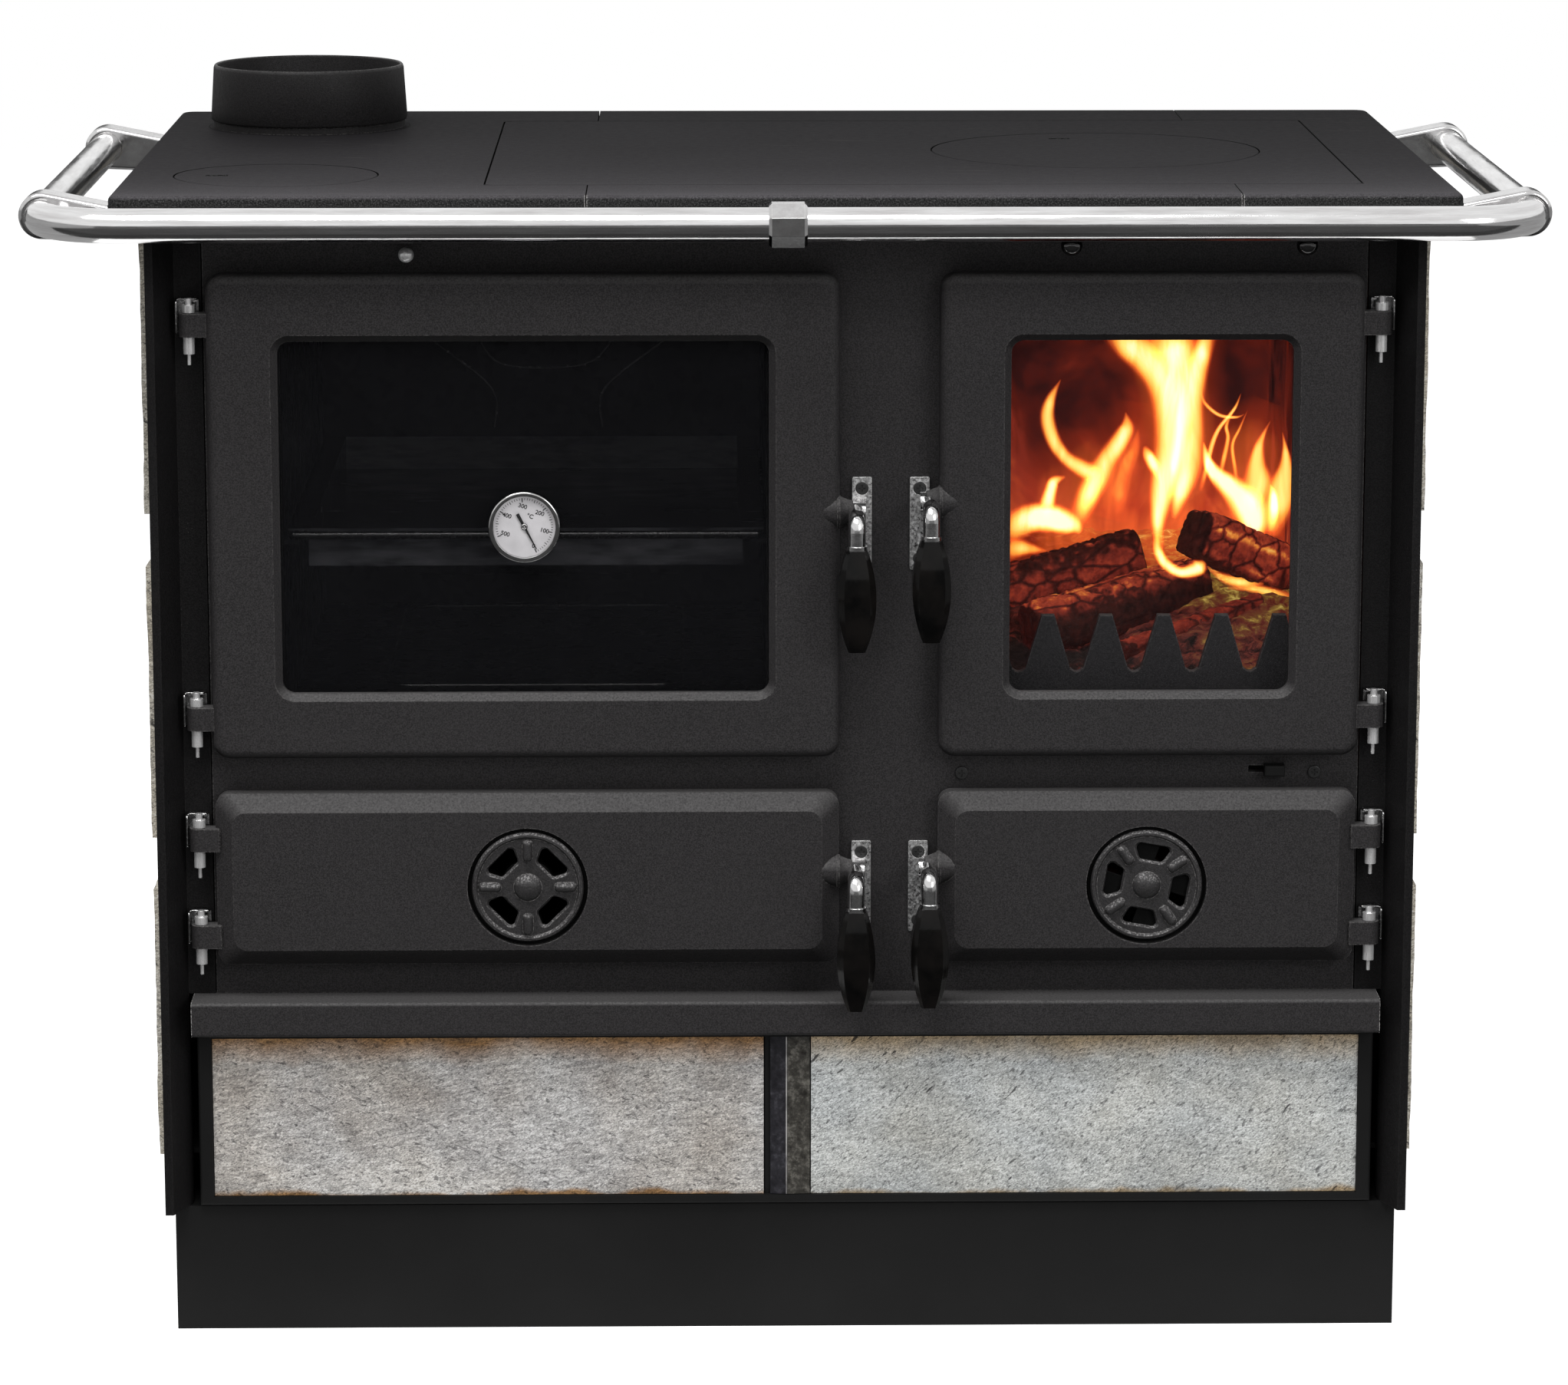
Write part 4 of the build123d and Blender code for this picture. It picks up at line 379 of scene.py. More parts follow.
def cast_iron(name, colour=0.0185, grain=0.1, edge_wear_and_highlight=0.12, top_light=5.6, pits=(), level=0.12, rim=1.6,
              speckle=(0.3, 0.7, 0.25)):
    """Fine-grained cast iron beneath satin paint: light specks, rubbed edges with a sparkling painted
    highlight, upward faces painted lighter in specks as if lit from above, and downward faces darkened by
    painted shade.

    Pits are the air wheels' recesses, as their (x, z) centres: black inside, a painted shade.
    """
    f = Finish(name, level)
    low, high = tint(colour, 0.8, 0.76, 0.78), tint(colour, 1.02, 0.96, 0.99)
    tone = f.ramp(f.noise(6, 3), (0.3, low), (0.7, high))
    fine = f.noise(1000, 3)
    tone = f.mix(f.span(fine, 0.36, 0.66), tone, tint(colour, 2.1, 1.98, 2.04))
    specks = f.ramp(f.cells(300), (0, 1), (0.09, 0))
    rare = f.ramp(f.noise(25, 2), (0.56, 0), (0.66, 1))
    tone = f.mix(f.times(specks, rare), tone, (0.12, 0.115, 0.11))
    grit = f.noise(700, 2)
    # Painted top light: upward faces lighter, in specks.
    lit_from_above = f.times(f.span(f.facing("Z"), 0.15, 0.75), f.span(grit, *speckle, 1))
    tone = f.mix(lit_from_above, tone, tint(colour * top_light, 1, 0.97, 0.97))
    # Painted shade: downward faces darker.
    shaded_below = f.span(f.facing("Z"), -0.15, -0.6, 0, 0.72)
    tone = f.mix(shaded_below, tone, (colour * 0.15,) * 3)
    # Rubbed edges, also lit by a painted highlight.
    brightened = f.times(f.edges(rim), f.span(grit, 0.42, 0.62))
    tone = f.mix(brightened, tone, tint(edge_wear_and_highlight, 1, 0.96, 0.94))
    # Painted shade: black deep in each wheel's recess.
    for x, z in pits:
        inside = f.span(f.distance((x, 0, z), (1, 0, 1)), (PIT_RADIUS + 0.3) * MM, (PIT_RADIUS - 0.3) * MM)
        sunk = f.span(f.axis("Y"), *((FRONT + depth) * MM for depth in PIT_DEPTHS))
        tone = f.mix(f.times(inside, sunk), tone, (0.0015,) * 3)
    return f.done(tone, f.spread(f.noise(300, 3), 0.43, 0.57), fine, grain, 0.7)


# The hob's seams: lids and collar as centre (x, depth) and radius, and two corners of the centre plate.
LID_SEAMS = (((-370, 132), 74), ((238, 295), 124), ((-369, 484), 78.6))
PLATE_SEAM = ((-216, 67), (415, 514))
HOB_DEPTH = 600
HOB_SIDE = 475.5
# Painted light, brightest at the front edge: how much brighter the hob's iron is at each share of
# its depth, from its front edge.
HOB_LIGHT_FALLOFF = ((0, 4.4), (0.03, 3.4), (0.08, 2.6), (0.15, 2), (0.3, 1.4), (0.5, 1.1), (1, 0.65))


def hob_seams(f):
    """1 in the hob's sooty seams."""
    seams = 0
    for (x, depth), radius in LID_SEAMS:
        seams = f.larger(seams, f.line(f.distance((x, depth, 0), (1, 1, 0)), radius + 0.2, 0.75))
    (x0, d0), (x1, d1) = PLATE_SEAM
    outside = []
    for name, low, high in (("X", x0, x1), ("Y", FRONT + d0, FRONT + d1)):
        from_middle = f.math("ABSOLUTE", f.math("SUBTRACT", f.axis(name), (low + high) / 2 * MM))
        outside.append(f.math("SUBTRACT", from_middle, (high - low) / 2 * MM))
    return f.larger(seams, f.line(f.larger(*outside), 0.2, 0.8))


def hob_iron(name):
    """Ground and blacked plate, as cast on its upright edges, with scuffs, sooty seams, painted light
    that is brightest at the front, and paler rubbed rims with a painted highlight.
    """
    f = Finish(name, 0.01)
    tone = f.ramp(f.noise(5, 4), (0.25, (0.0135, 0.0128, 0.0137)), (0.75, (0.018, 0.0172, 0.0184)))
    grain = f.noise(900, 4, 0.7)
    tone = f.toned(tone, f.ramp(grain, (0.36, 0.72), (0.66, 1.4)))
    # Painted light: the iron is paler towards the front edge.
    inwards = f.span(f.axis("Y"), FRONT * MM, (FRONT + HOB_DEPTH) * MM)
    tone = f.toned(tone, f.ramp(inwards, *HOB_LIGHT_FALLOFF))
    rough_cast = f.ramp(grain, (0.36, 0.008), (0.48, 0.02), (0.6, 0.05), (0.7, 0.12))
    tone = f.mix(f.span(f.facing("Z"), 0.75, 0.35), tone, rough_cast)
    streaks = f.ramp(f.noise(30, 2, place=f.turned((0.25, 14, 1), (0, 0, 8))), (0.7, 0), (0.74, 1))
    scuffs = f.times(streaks, f.ramp(f.noise(9, 1), (0.52, 0), (0.62, 0.55)))
    dots = f.ramp(f.cells(140), (0, 0.8), (0.07, 0))
    specks = f.times(dots, f.ramp(f.noise(17, 2), (0.5, 0), (0.6, 1)))
    tone = f.mix(f.larger(scuffs, specks), tone, (0.15, 0.14, 0.135))
    # Painted highlight along the rubbed front and side top edges.
    sides = f.span(f.math("ABSOLUTE", f.axis("X")), (HOB_SIDE - 1.5) * MM, (HOB_SIDE + 1.5) * MM)
    rim = f.larger(sides, f.span(f.axis("Y"), (FRONT + 6) * MM, (FRONT + 3) * MM))
    brightened = f.times(f.times(f.edges(2), rim), f.span(grain, 0.38, 0.56))
    tone = f.mix(hob_seams(f), f.mix(brightened, tone, (0.42, 0.41, 0.4)), (0.001,) * 3)
    return f.done(tone, f.spread(f.noise(160), 0.6, 0.68), grain, 0.06, 0.8)


def chrome(name, colour=0.78, roughness=0.1, dark=None, edge=0, streaks=(1, 1, 1), metallic=1,
           shaded_underside=None):
    """Smudged plate, mottled where dark is set, with rims painted bright as a highlight where edge is set,
    and undersides darkened to a grey of their own as painted shade.
    """
    f = Finish(name)
    smudge = f.noise(45 if streaks == (1, 1, 1) else 260, 4, 0.7, place=f.turned(streaks))
    low = colour * 0.72 if dark is None else dark
    tone = f.ramp(smudge, (0.32, tint(low, 1, 0.98, 0.98)), (0.68, colour))
    if dark is not None:
        mottle = f.ramp(f.noise(420, 4, 0.8), (0.35, 0.55), (0.5, 0.9), (0.62, 1.6), (0.7, 3))
        tone = f.capped(f.toned(tone, mottle), 0.92)
    # Painted highlight on the rims.
    if edge:
        tone = f.mix(f.edges(edge), tone, (0.9, 0.89, 0.88))
    # Painted shade on the undersides.
    if shaded_underside is not None:
        tone = f.mix(f.span(f.facing("Z"), -0.3, -0.5), tone, (shaded_underside,) * 3)
    lines = f.noise(420, 4, 0.7, place=f.turned(streaks))
    gloss = f.span(lines, 0.35, 0.7, roughness * 0.65, roughness * 1.6)
    return f.done(tone, gloss, lines, 0.02, 0.4, Metallic=metallic)


def hammered(name):
    """Bright chrome with small dents that break up what it reflects."""
    f = Finish(name)
    dents = f.noise(420, 2, 0.6)
    tone = f.ramp(dents, (0.35, 0.8), (0.6, 0.98))
    return f.done(tone, f.spread(dents, 0.25, 0.4), dents, 0.35, Metallic=0.8)


def black_sheet(name):
    """Powder-coated sheet."""
    f = Finish(name, 0.1)
    tone = f.ramp(f.noise(8, 3), (0.3, 0.0105 * 0.85), (0.7, 0.0105 * 1.15))
    return f.done(tone, f.spread(f.noise(500, 2), 0.5, 0.62), f.noise(1400, 2), 0.06)


def cloudy(name, colour, roughness, size=60, grain=0.02):
    """A finish with slight clouds in its colour and gloss."""
    f = Finish(name)
    cloud = f.noise(size)
    low, high = (tuple(c * k for c in colour) for k in (0.9, 1.1))
    gloss = f.spread(cloud, roughness * 0.85, roughness * 1.15)
    return f.done(f.ramp(cloud, (0.3, low), (0.7, high)), gloss, f.noise(size * 12, 3), grain)


def bakelite(name):
    """Glossy black plastic with faint brown-grey clouds and fine scratches."""
    f = Finish(name, 0.13)
    tone = f.ramp(f.noise(40, 3), (0.35, 0.0022), (0.7, (0.007, 0.006, 0.0055)))
    scratches = f.noise(60, 3, place=f.turned((14, 14, 1)))
    return f.done(tone, f.span(scratches, 0.35, 0.7, 0.06, 0.16), scratches, 0.01)


def glass(name, colour, alpha):
    """Thin ceramic glass: it shows what is behind it through alpha, with faint smears."""
    f = Finish(name, 0.05)
    cool = tint(colour, 1, 1, 1.12)
    tone = f.ramp(f.noise(15, 3), (0.3, tuple(c * 0.8 for c in cool)), (0.7, cool))
    return f.done(tone, f.spread(f.noise(60, 3), 0.03, 0.06), Alpha=alpha)


def tray_enamel(name):
    """Glossy dark enamel, painted paler on the tray's front and back walls, most on the back, as a painted
    reflection.
    """
    f = Finish(name)
    cloud = f.noise(40, 4, 0.6, place=f.turned((0.5, 1, 2)))
    dark = f.ramp(cloud, (0.3, (0.008, 0.008, 0.009)), (0.7, (0.02, 0.02, 0.023)))
    # Painted reflection: faces towards the front are paler, the back wall the palest.
    pale = f.ramp(cloud, (0.35, (0.05, 0.05, 0.056)), (0.6, (0.2, 0.2, 0.22)))
    brightened = f.ramp(cloud, (0.35, (0.35, 0.35, 0.38)), (0.6, (0.9, 0.9, 0.94)))
    pale = f.mix(f.span(f.axis("Y"), 0.15, 0.2), pale, brightened)
    tone = f.mix(f.span(f.facing("Y"), -0.6, -0.9), dark, pale)
    return f.done(tone, f.spread(cloud, 0.12, 0.3), f.noise(300, 2), 0.02)


# The heights, in metres, of the drawer tiles' top and bottom, where they are stained, and a stain's wavering.
STAINS = (0.2235, 0.1034)
NO_STAINS = (2, -2)
STAIN_WAVER = 0.018


def stone(name, low, high, stain, stains, cracks=1, slant=-38, fibre=0.28):
    """Split quartzite: fibres, dark specks and short slanted cracks, stained along its top and bottom."""
    f = Finish(name, 0.3)
    tone = f.ramp(f.noise(14, 4, 0.6), (0.3, low), (0.7, high))
    grain = f.noise(560, 3, 0.85, place=f.turned((1, 1, 2), (0, 28, 0)))
    tone = f.toned(tone, f.ramp(grain, (0.33, 0.25), (0.45, 0.9), (0.58, 1.35), (0.68, 2.4)))
    flow = f.noise(26, 4, 0.6, place=f.turned((0.45, 1, 1.9), (0, -24, 0)), Distortion=0.4)
    tone = f.toned(tone, f.ramp(flow, (0.34, 0.9), (0.5, 1), (0.66, 1.12)))
    fibres = f.noise(240, 3, 0.75, place=f.turned((0.3, 1, 1.6), (0, 8, 0)), Distortion=0.6)
    tone = f.toned(tone, f.ramp(fibres, (0.34, 1 - fibre), (0.5, 1), (0.64, 1 + 1.25 * fibre)))
    tone = f.toned(tone, f.ramp(f.noise(9, 3), (0.38, (1.03, 1, 0.95)), (0.62, (0.98, 0.99, 1))))
    tone = f.capped(tone, 0.82)
    patches = f.ramp(f.noise(20, 3), (0.42, 0), (0.58, 1))
    dots = f.times(f.ramp(f.cells(230), (0, 1), (0.14, 0)), patches)
    short = f.noise(150, 2, 0.5, place=f.turned((0.42, 1, 1.7), (0, slant, 0)))
    lines = f.times(f.ramp(short, (0.655, 0), (0.69, cracks)), patches)
    flecks = f.noise(330, 2, 0.5, place=f.turned((0.55, 1, 1.5), (0, slant, 0)))
    lines = f.larger(lines, f.ramp(flecks, (0.62, 0), (0.68, 0.7)))
    tone = f.mix(f.times(f.larger(dots, lines), 0.9), tone, (0.03, 0.028, 0.03))
    waver = f.times(f.math("SUBTRACT", f.noise(30, 3), 0.5), STAIN_WAVER)
    height = f.math("ADD", f.axis("Z"), waver)
    top, bottom = stains
    for inner, outer in ((top - 0.02, top - 0.001), (bottom + 0.004, bottom)):
        tone = f.mix(f.span(height, inner, outer), tone, f.toned(tone, stain))
    return f.done(tone, f.spread(grain, 0.55, 0.8), grain, 0.5)


def firebrick(name):
    """Vermiculite lining, orange-brown where it is lit and sooty in patches, with a painted warm glow of
    firelight.
    """
    f = Finish(name, 0.1)
    soot = f.noise(9, 4, 0.65)
    tone = f.ramp(soot, (0.35, (0.02, 0.008, 0.006)), (0.7, (0.16, 0.07, 0.045)))
    # Painted firelight: the lining glows warm though it is no lamp.
    warm = f.ramp(soot, (0.3, (0.02, 0.0015, 0.001)), (0.55, (0.1, 0.008, 0.004)),
                  (0.75, (0.2, 0.025, 0.008)))
    return f.done(tone, 0.9, f.noise(400), 0.3, Emission_Color=warm, Emission_Strength=0.55)


def smoke_glow(name):
    """The deep red smoke behind the flames, a painted glow of firelight, brightest low down."""
    f = Finish(name, 0)
    drift = f.noise(13, 5, 0.6, place=f.turned((1, 1, 0.8)), Distortion=0.8)
    heat = f.math("ADD", drift, f.span(f.axis("Z"), 0.72, 0.54, -0.1, 0.2))
    glow = f.ramp(heat, (0.3, (0.01, 0.0025, 0.0022)), (0.45, (0.035, 0.006, 0.005)),
                  (0.6, (0.105, 0.011, 0.006)), (0.72, (0.26, 0.028, 0.014)), (0.85, (0.55, 0.09, 0.025)))
    return f.done((0, 0, 0, 1), 1, Emission_Color=glow, Emission_Strength=1)


def flame_light(name):
    """Glowing gas, added to what is behind it: the piece's glow attribute sets its heat."""
    f = Finish(name, 0)
    heat = f.add("ShaderNodeAttribute", attribute_name="glow").outputs["Fac"]
    licks = f.noise(26, 3, 0.55, place=f.turned((2.2, 1, 0.45)), Distortion=0.6)
    heat = f.times(heat, f.span(licks, 0.25, 0.75, 0.72, 1.15))
    glow = f.ramp(heat, (0, 0), (0.18, (0.09, 0.007, 0.001)), (0.36, (0.44, 0.07, 0.01)),
                  (0.55, (0.92, 0.36, 0.045)), (0.75, (1, 0.74, 0.18)), (1, (1, 0.97, 0.66)))
    light = f.add("ShaderNodeEmission", {"Color": glow, "Strength": 1.35})
    clear = f.add("ShaderNodeBsdfTransparent")
    both = f.add("ShaderNodeAddShader", {0: light.outputs[0], 1: clear.outputs[0]})
    f.put(f.tree.nodes["Material Output"].inputs["Surface"], both.outputs[0])
    return f.material


def charred_wood(name):
    """Burnt logs: the piece's glow attribute lights a crust of dark, squarish cracks."""
    f = Finish(name, 0.15)
    warm = f.add("ShaderNodeAttribute", attribute_name="glow").outputs["Fac"]
    crust = f.noise(150, 5, 0.75)
    heat = f.math("ADD", warm, f.spread(crust, -0.16, 0.16))
    blocks = f.cells(62, place=f.turned((0.55, 1, 1), (0, 16, 0)), feature="DISTANCE_TO_EDGE")
    cracks = f.ramp(blocks, (0, 0.35), (0.1, 1))
    glow = f.ramp(f.times(heat, cracks), (0, (0.006, 0.0012, 0.001)), (0.22, (0.035, 0.0045, 0.003)),
                  (0.42, (0.17, 0.018, 0.01)), (0.62, (0.38, 0.05, 0.02)), (0.82, (0.85, 0.26, 0.04)),
                  (1, (1, 0.55, 0.12)))
    tone = f.ramp(crust, (0.3, (0.012, 0.006, 0.005)), (0.7, (0.05, 0.02, 0.014)))
    height = f.math("ADD", cracks, crust)
    return f.done(tone, 0.85, height, 1.2, Emission_Color=glow, Emission_Strength=0.95)


def ember_coals(name):
    """Glowing coals: nearly black at the front left, red and olive-yellow at the right and the back."""
    f = Finish(name, 0.1)
    coals = f.cells(60, feature="F1")
    fire = f.noise(75, 5, 0.75, Distortion=0.7)
    side = f.span(f.axis("X"), 0.19, 0.33, -0.2, 0.06)
    back = f.span(f.axis("Y"), -0.14, -0.06, 0, 0.13)
    heat = f.math("ADD", f.math("SUBTRACT", fire, f.times(coals, 0.2)), f.math("ADD", side, back))
    glow = f.ramp(heat, (0.26, (0.006, 0.002, 0.0015)), (0.36, (0.05, 0.006, 0.004)),
                  (0.46, (0.17, 0.022, 0.014)), (0.55, (0.2, 0.075, 0.018)), (0.64, (0.42, 0.24, 0.04)),
                  (0.76, (1, 0.78, 0.2)))
    tone = f.ramp(fire, (0.3, 0.01), (0.7, (0.06, 0.045, 0.04)))
    return f.done(tone, 0.9, fire, 2, Emission_Color=glow, Emission_Strength=0.62)


def aged_strip(name):
    """The drawer's centre strip: a bluish dark half, a bright seam and a brown-grey weathered half."""
    f = Finish(name, 0.4)
    x = f.axis("X")
    grime = f.noise(160, 5, 0.75)
    blue = f.ramp(grime, (0.3, (0.01, 0.0095, 0.012)), (0.55, (0.024, 0.023, 0.029)),
                  (0.75, (0.07, 0.068, 0.082)))
    brown = f.ramp(grime, (0.3, (0.016, 0.0145, 0.012)), (0.5, (0.06, 0.056, 0.048)),
                   (0.72, (0.21, 0.2, 0.175)))
    tone = f.mix(f.span(x, 0.0006, 0.0012), blue, brown)
    seam = f.math("SUBTRACT", f.span(x, -0.0003, 0.0002), f.span(x, 0.0004, 0.0009))
    seam = f.times(seam, f.ramp(f.noise(30, 4, 0.7), (0.35, 0.15), (0.6, 1)))
    tone = f.mix(seam, tone, (0.55, 0.53, 0.52))
    return f.done(tone, f.spread(grime, 0.35, 0.6), grime, 0.3, Metallic=0.25)


LEFT_STONE = stone("stone_left_tile", (0.3, 0.28, 0.265), (0.5, 0.49, 0.48), (0.62, 0.36, 0.16), STAINS,
                   cracks=0.6, slant=-24)
RIGHT_STONE = stone("stone_right_tile", (0.36, 0.37, 0.365), (0.5, 0.515, 0.51), (0.75, 0.56, 0.36), STAINS,
                    slant=42, fibre=0.17)
SIDE_STONE = stone("stone_side_tiles", (0.4, 0.37, 0.31), (0.66, 0.62, 0.55), (0.8, 0.66, 0.5), NO_STAINS)
# Each air wheel's X, and how far it is turned.
WHEELS = {"left": (-188.6, 0), "right": (263.3, 35)}
WHEEL_HEIGHT = 340.1
# The air wheels' iron: strong painted top light in specks and a painted highlight on its edges.
WHEEL_IRON = cast_iron("wheel_iron_paint", 0.0165, 0.3, edge_wear_and_highlight=0.2, top_light=17, level=0.3, rim=0.9,
                       speckle=(0.5, 0.64, 0.12))
IRON = cast_iron("cast_iron_paint", pits=[(x, WHEEL_HEIGHT) for x, turn in WHEELS.values()])
SMALL_CHROME = chrome("small_chrome_parts", 0.92, 0.2)
AIR_PULL_CHROME = chrome("air_pull_chrome", 0.14, 0.08)
BLACK_SHEET = black_sheet("black_sheet_paint")
# The finish of each CAD material slot, and then those of the nodes that have their own.
FINISHES = {
    "cast_iron": IRON,
    "hob_iron": hob_iron("hob_plate_iron"),
    "wheel_iron": WHEEL_IRON,
    "black_sheet": BLACK_SHEET,
    "oven_enamel": cloudy("oven_enamel_grey", (0.035, 0.035, 0.038), 0.28),
    "chrome": chrome("chrome_plate", roughness=0.14),
    "aged_steel": aged_strip("aged_steel_strip"),
    "black_screw": cloudy("black_screw_steel", (0.018,) * 3, 0.4),
    "bakelite": bakelite("bakelite_black"),
    "stone": SIDE_STONE,
    "firebrick": firebrick("firebrick_sooty"),
    "dark_glass": glass("oven_glass_dark", 0.0094, 0.44),
    "clear_glass": glass("clear_glass_thin", 0.02, 0.08),
    "seal_rope": cloudy("seal_rope_grey", (0.2, 0.19, 0.18), 0.9, size=300, grain=0.4),
    "dial_face": cloudy("dial_face_pale", (0.78, 0.76, 0.78), 0.5),
    "needle_black": cloudy("needle_black_paint", (0.015,) * 3, 0.5),
}
OWN_FINISHES = {
    # The side panels: a darker copy of the iron, a painted shade.
    "side_panels": cast_iron("side_panel_shaded_iron", 0.006, edge_wear_and_highlight=0.02),
    # The ledge: a bright painted highlight on its rubbed edges.
    "ledge": cast_iron("ledge_iron", edge_wear_and_highlight=0.75, rim=1),
    "hand_rail": chrome("hand_rail_chrome", 0.8, 0.12, streaks=(0.05, 0.05, 1)),
    # Rims painted bright as highlights; the rail brackets also get painted shade on their undersides.
    "strike_plates": chrome("strike_plate_chrome", 0.8, 0.34, dark=0.66, edge=0.9),
    "rail_brackets": chrome("rail_bracket_chrome", 0.66, 0.12, edge=0.6, shaded_underside=0.08),
    "oven_rack": chrome("oven_rack_chrome", 0.17, 0.22),
    "baking_tray": tray_enamel("baking_tray_enamel"),
    "hinge_pins": chrome("hinge_pin_chrome", 0.98, 0.24, streaks=(1, 1, 0.05), metallic=0.65),
    "damper_pull": hammered("damper_ball_chrome"),
    "air_pull_left": AIR_PULL_CHROME,
    "air_pull_right": AIR_PULL_CHROME,
    "thermometer_case": chrome("thermometer_bezel_chrome", 0.62, 0.07),
}


def finish_nodes():
    """Gives each CAD node its finish; its mesh brings the CAD's own smooth normals."""
    for entry in frame["record"]["subparts"]:
        node = entry["node"]
        NODES[node].data.materials.clear()
        NODES[node].data.materials.append(OWN_FINISHES.get(node, FINISHES[entry["material_slot"]]))


# ---- flue collar: a slightly tapered cast ring on a narrower foot ----
COLLAR_PLACE = (-369, 484, 850)
COLLAR_PROFILE = ((0, 71), (0, 75.2), (5.4, 75.2), (5.9, 76.4), (7.2, 77.1), (46.4, 74.6), (48.2, 74),
                  (49, 73.2), (49, 72.4), (48.4, 71.7), (46.8, 71.3))


def make_flue_collar():
    bm = bmesh.new()
    lathe(bm, COLLAR_PLACE, "z", COLLAR_PROFILE, sides=128)
    finish = cast_iron("flue_collar_iron", 0.0075, 0.15)
    finish_piece("flue_collar_tapered", bm, "root", finish, ("flue_collar",))


# ---- hinge brackets: folded angles, a back plate, an outer wall and a top lip each ----
HINGE_HEIGHTS = (752.7, 464.8, 374.8, 302.2)
HINGE_X = 428
BRACKET_TOP = 18.5
# Each wall: two corners, with X from the hinge's and Z from the bracket's top, and the axis and radius of its
# rounded corners.
BRACKET_PARTS = (
    ((-7, 54.2, -26), (9, 55.9, 0), 1, 3),
    ((8.1, 43.3, -25), (9.4, 55.9, -0.8), 0, 2.2),
    ((-6.4, 48, -1.4), (9, 55.9, 0), 2, 2.2),
)


def make_hinge_brackets():
    bm = bmesh.new()
    for z in HINGE_HEIGHTS:
        for side in (-1, 1):
            for low, high, axis, corner in BRACKET_PARTS:
                x0, x1 = sorted(side * (HINGE_X + x) for x in (low[0], high[0]))
                top = z + BRACKET_TOP
                rounded_block(bm, (x0, low[1], top + low[2]), (x1, high[1], top + high[2]), axis, corner)
    # Painted highlights on the brackets' rims.
    finish = chrome("hinge_bracket_chrome", 0.62, 0.18, dark=0.3, edge=0.5)
    finish_piece("hinge_bracket_angles", bm, "root", finish, ("hinge_brackets",))


# ---- sleeves between the doors' bosses and the handles' elbows ----
# Each door's sleeve: its X and Z, and the side that it points to.
SLEEVES = {
    "oven_door": (38.6, 616, 1),
    "firebox_door": (110.8, 623, -1),
    "lower_left_door": (38.6, 349.8, 1),
    "ash_door": (110.8, 352.3, -1),
}
SLEEVE_DEPTH = 42
SLEEVE_PROFILE = ((-2, 5.7), (-2, 12.4), (0.4, 12.3), (1.2, 11.2), (6.4, 9), (9.2, 8.4), (9.8, 7.6),
                  (9.9, 5.7))


def make_sleeves():
    for door, (x, z, side) in SLEEVES.items():
        bm = bmesh.new()
        lathe(bm, (x, SLEEVE_DEPTH, z), "x", [(side * along, radius) for along, radius in SLEEVE_PROFILE])
        finish_piece(f"{door}_boss_sleeve", bm, door, IRON)


# ---- air wheels: a web with four windows, a low rim, finger bars and a dome ----
WEB_DEPTH = 34.4
WEB_THICKNESS = 4.2
WEB_RADIUS = 37
WINDOW_MIDDLE = 25.4
# A window's size outwards and round the wheel, and its corners, at the front face and further in.
WINDOW_LIP = (15.4, 25, 4.2)
WINDOW_HOLE = (12.8, 22.2, 3.2)
LIP_DROP = 1.5
RIM_PROFILE = ((-4.2, 36.4), (0, 36.4), (1.1, 36.9), (1.8, 38), (1.6, 39.5), (0.6, 40.4), (-1, 40.8),
               (-4.2, 40.8))
DOME_PROFILE = ((-1, 0.01), (-1, 10.4), (0, 10.3), (1.4, 9.8), (3, 8.6), (4.5, 6.7), (5.5, 4.6),
                (6.1, 2.4), (6.3, 0.01))
BAR_REACH = (19.4, 35.6)
BAR_SIZE = (3.7, 4.6)
BAR_RINGS = 14
BAR_BLUNTNESS = 7


def wheel_point(x, angle, radius, lift):
    return at(x + radius * math.cos(angle), WEB_DEPTH - lift, WHEEL_HEIGHT + radius * math.sin(angle))


def window_ring(x, turn, sizes, lift):
    """A rounded, bent outline round a wheel's window."""
    outline = rounded_outline(*sizes)
    return [wheel_point(x, turn + v / WINDOW_MIDDLE, WINDOW_MIDDLE + u, lift) for u, v in outline]


def add_web(bm, x, turn):
    """The wheel's plate: two faces with four holes each, and chamfered walls between them."""
    around = [2 * math.pi * k / 96 for k in range(96)]
    turns = [math.radians(turn + 45 + 90 * quarter) for quarter in range(4)]
    loops = {}
    for lift, sizes in ((0, WINDOW_LIP), (-WEB_THICKNESS, WINDOW_HOLE)):
        rings = [[wheel_point(x, angle, WEB_RADIUS, lift) for angle in around]]
        rings += [window_ring(x, window, sizes, lift) for window in turns]
        loops[lift] = rings
        edges = []
        for ring in rings:
            verts = [bm.verts.new(point) for point in ring]
            edges += [bm.edges.new((a, b)) for a, b in zip(verts, verts[1:] + verts[:1])]
        bmesh.ops.triangle_fill(bm, edges=edges, use_beauty=True, use_dissolve=False)
    front, back = loops.values()
    loft(bm, [front[0], back[0]])
    for k, window in enumerate(turns):
        loft(bm, [front[k + 1], window_ring(x, window, WINDOW_HOLE, -LIP_DROP), back[k + 1]])


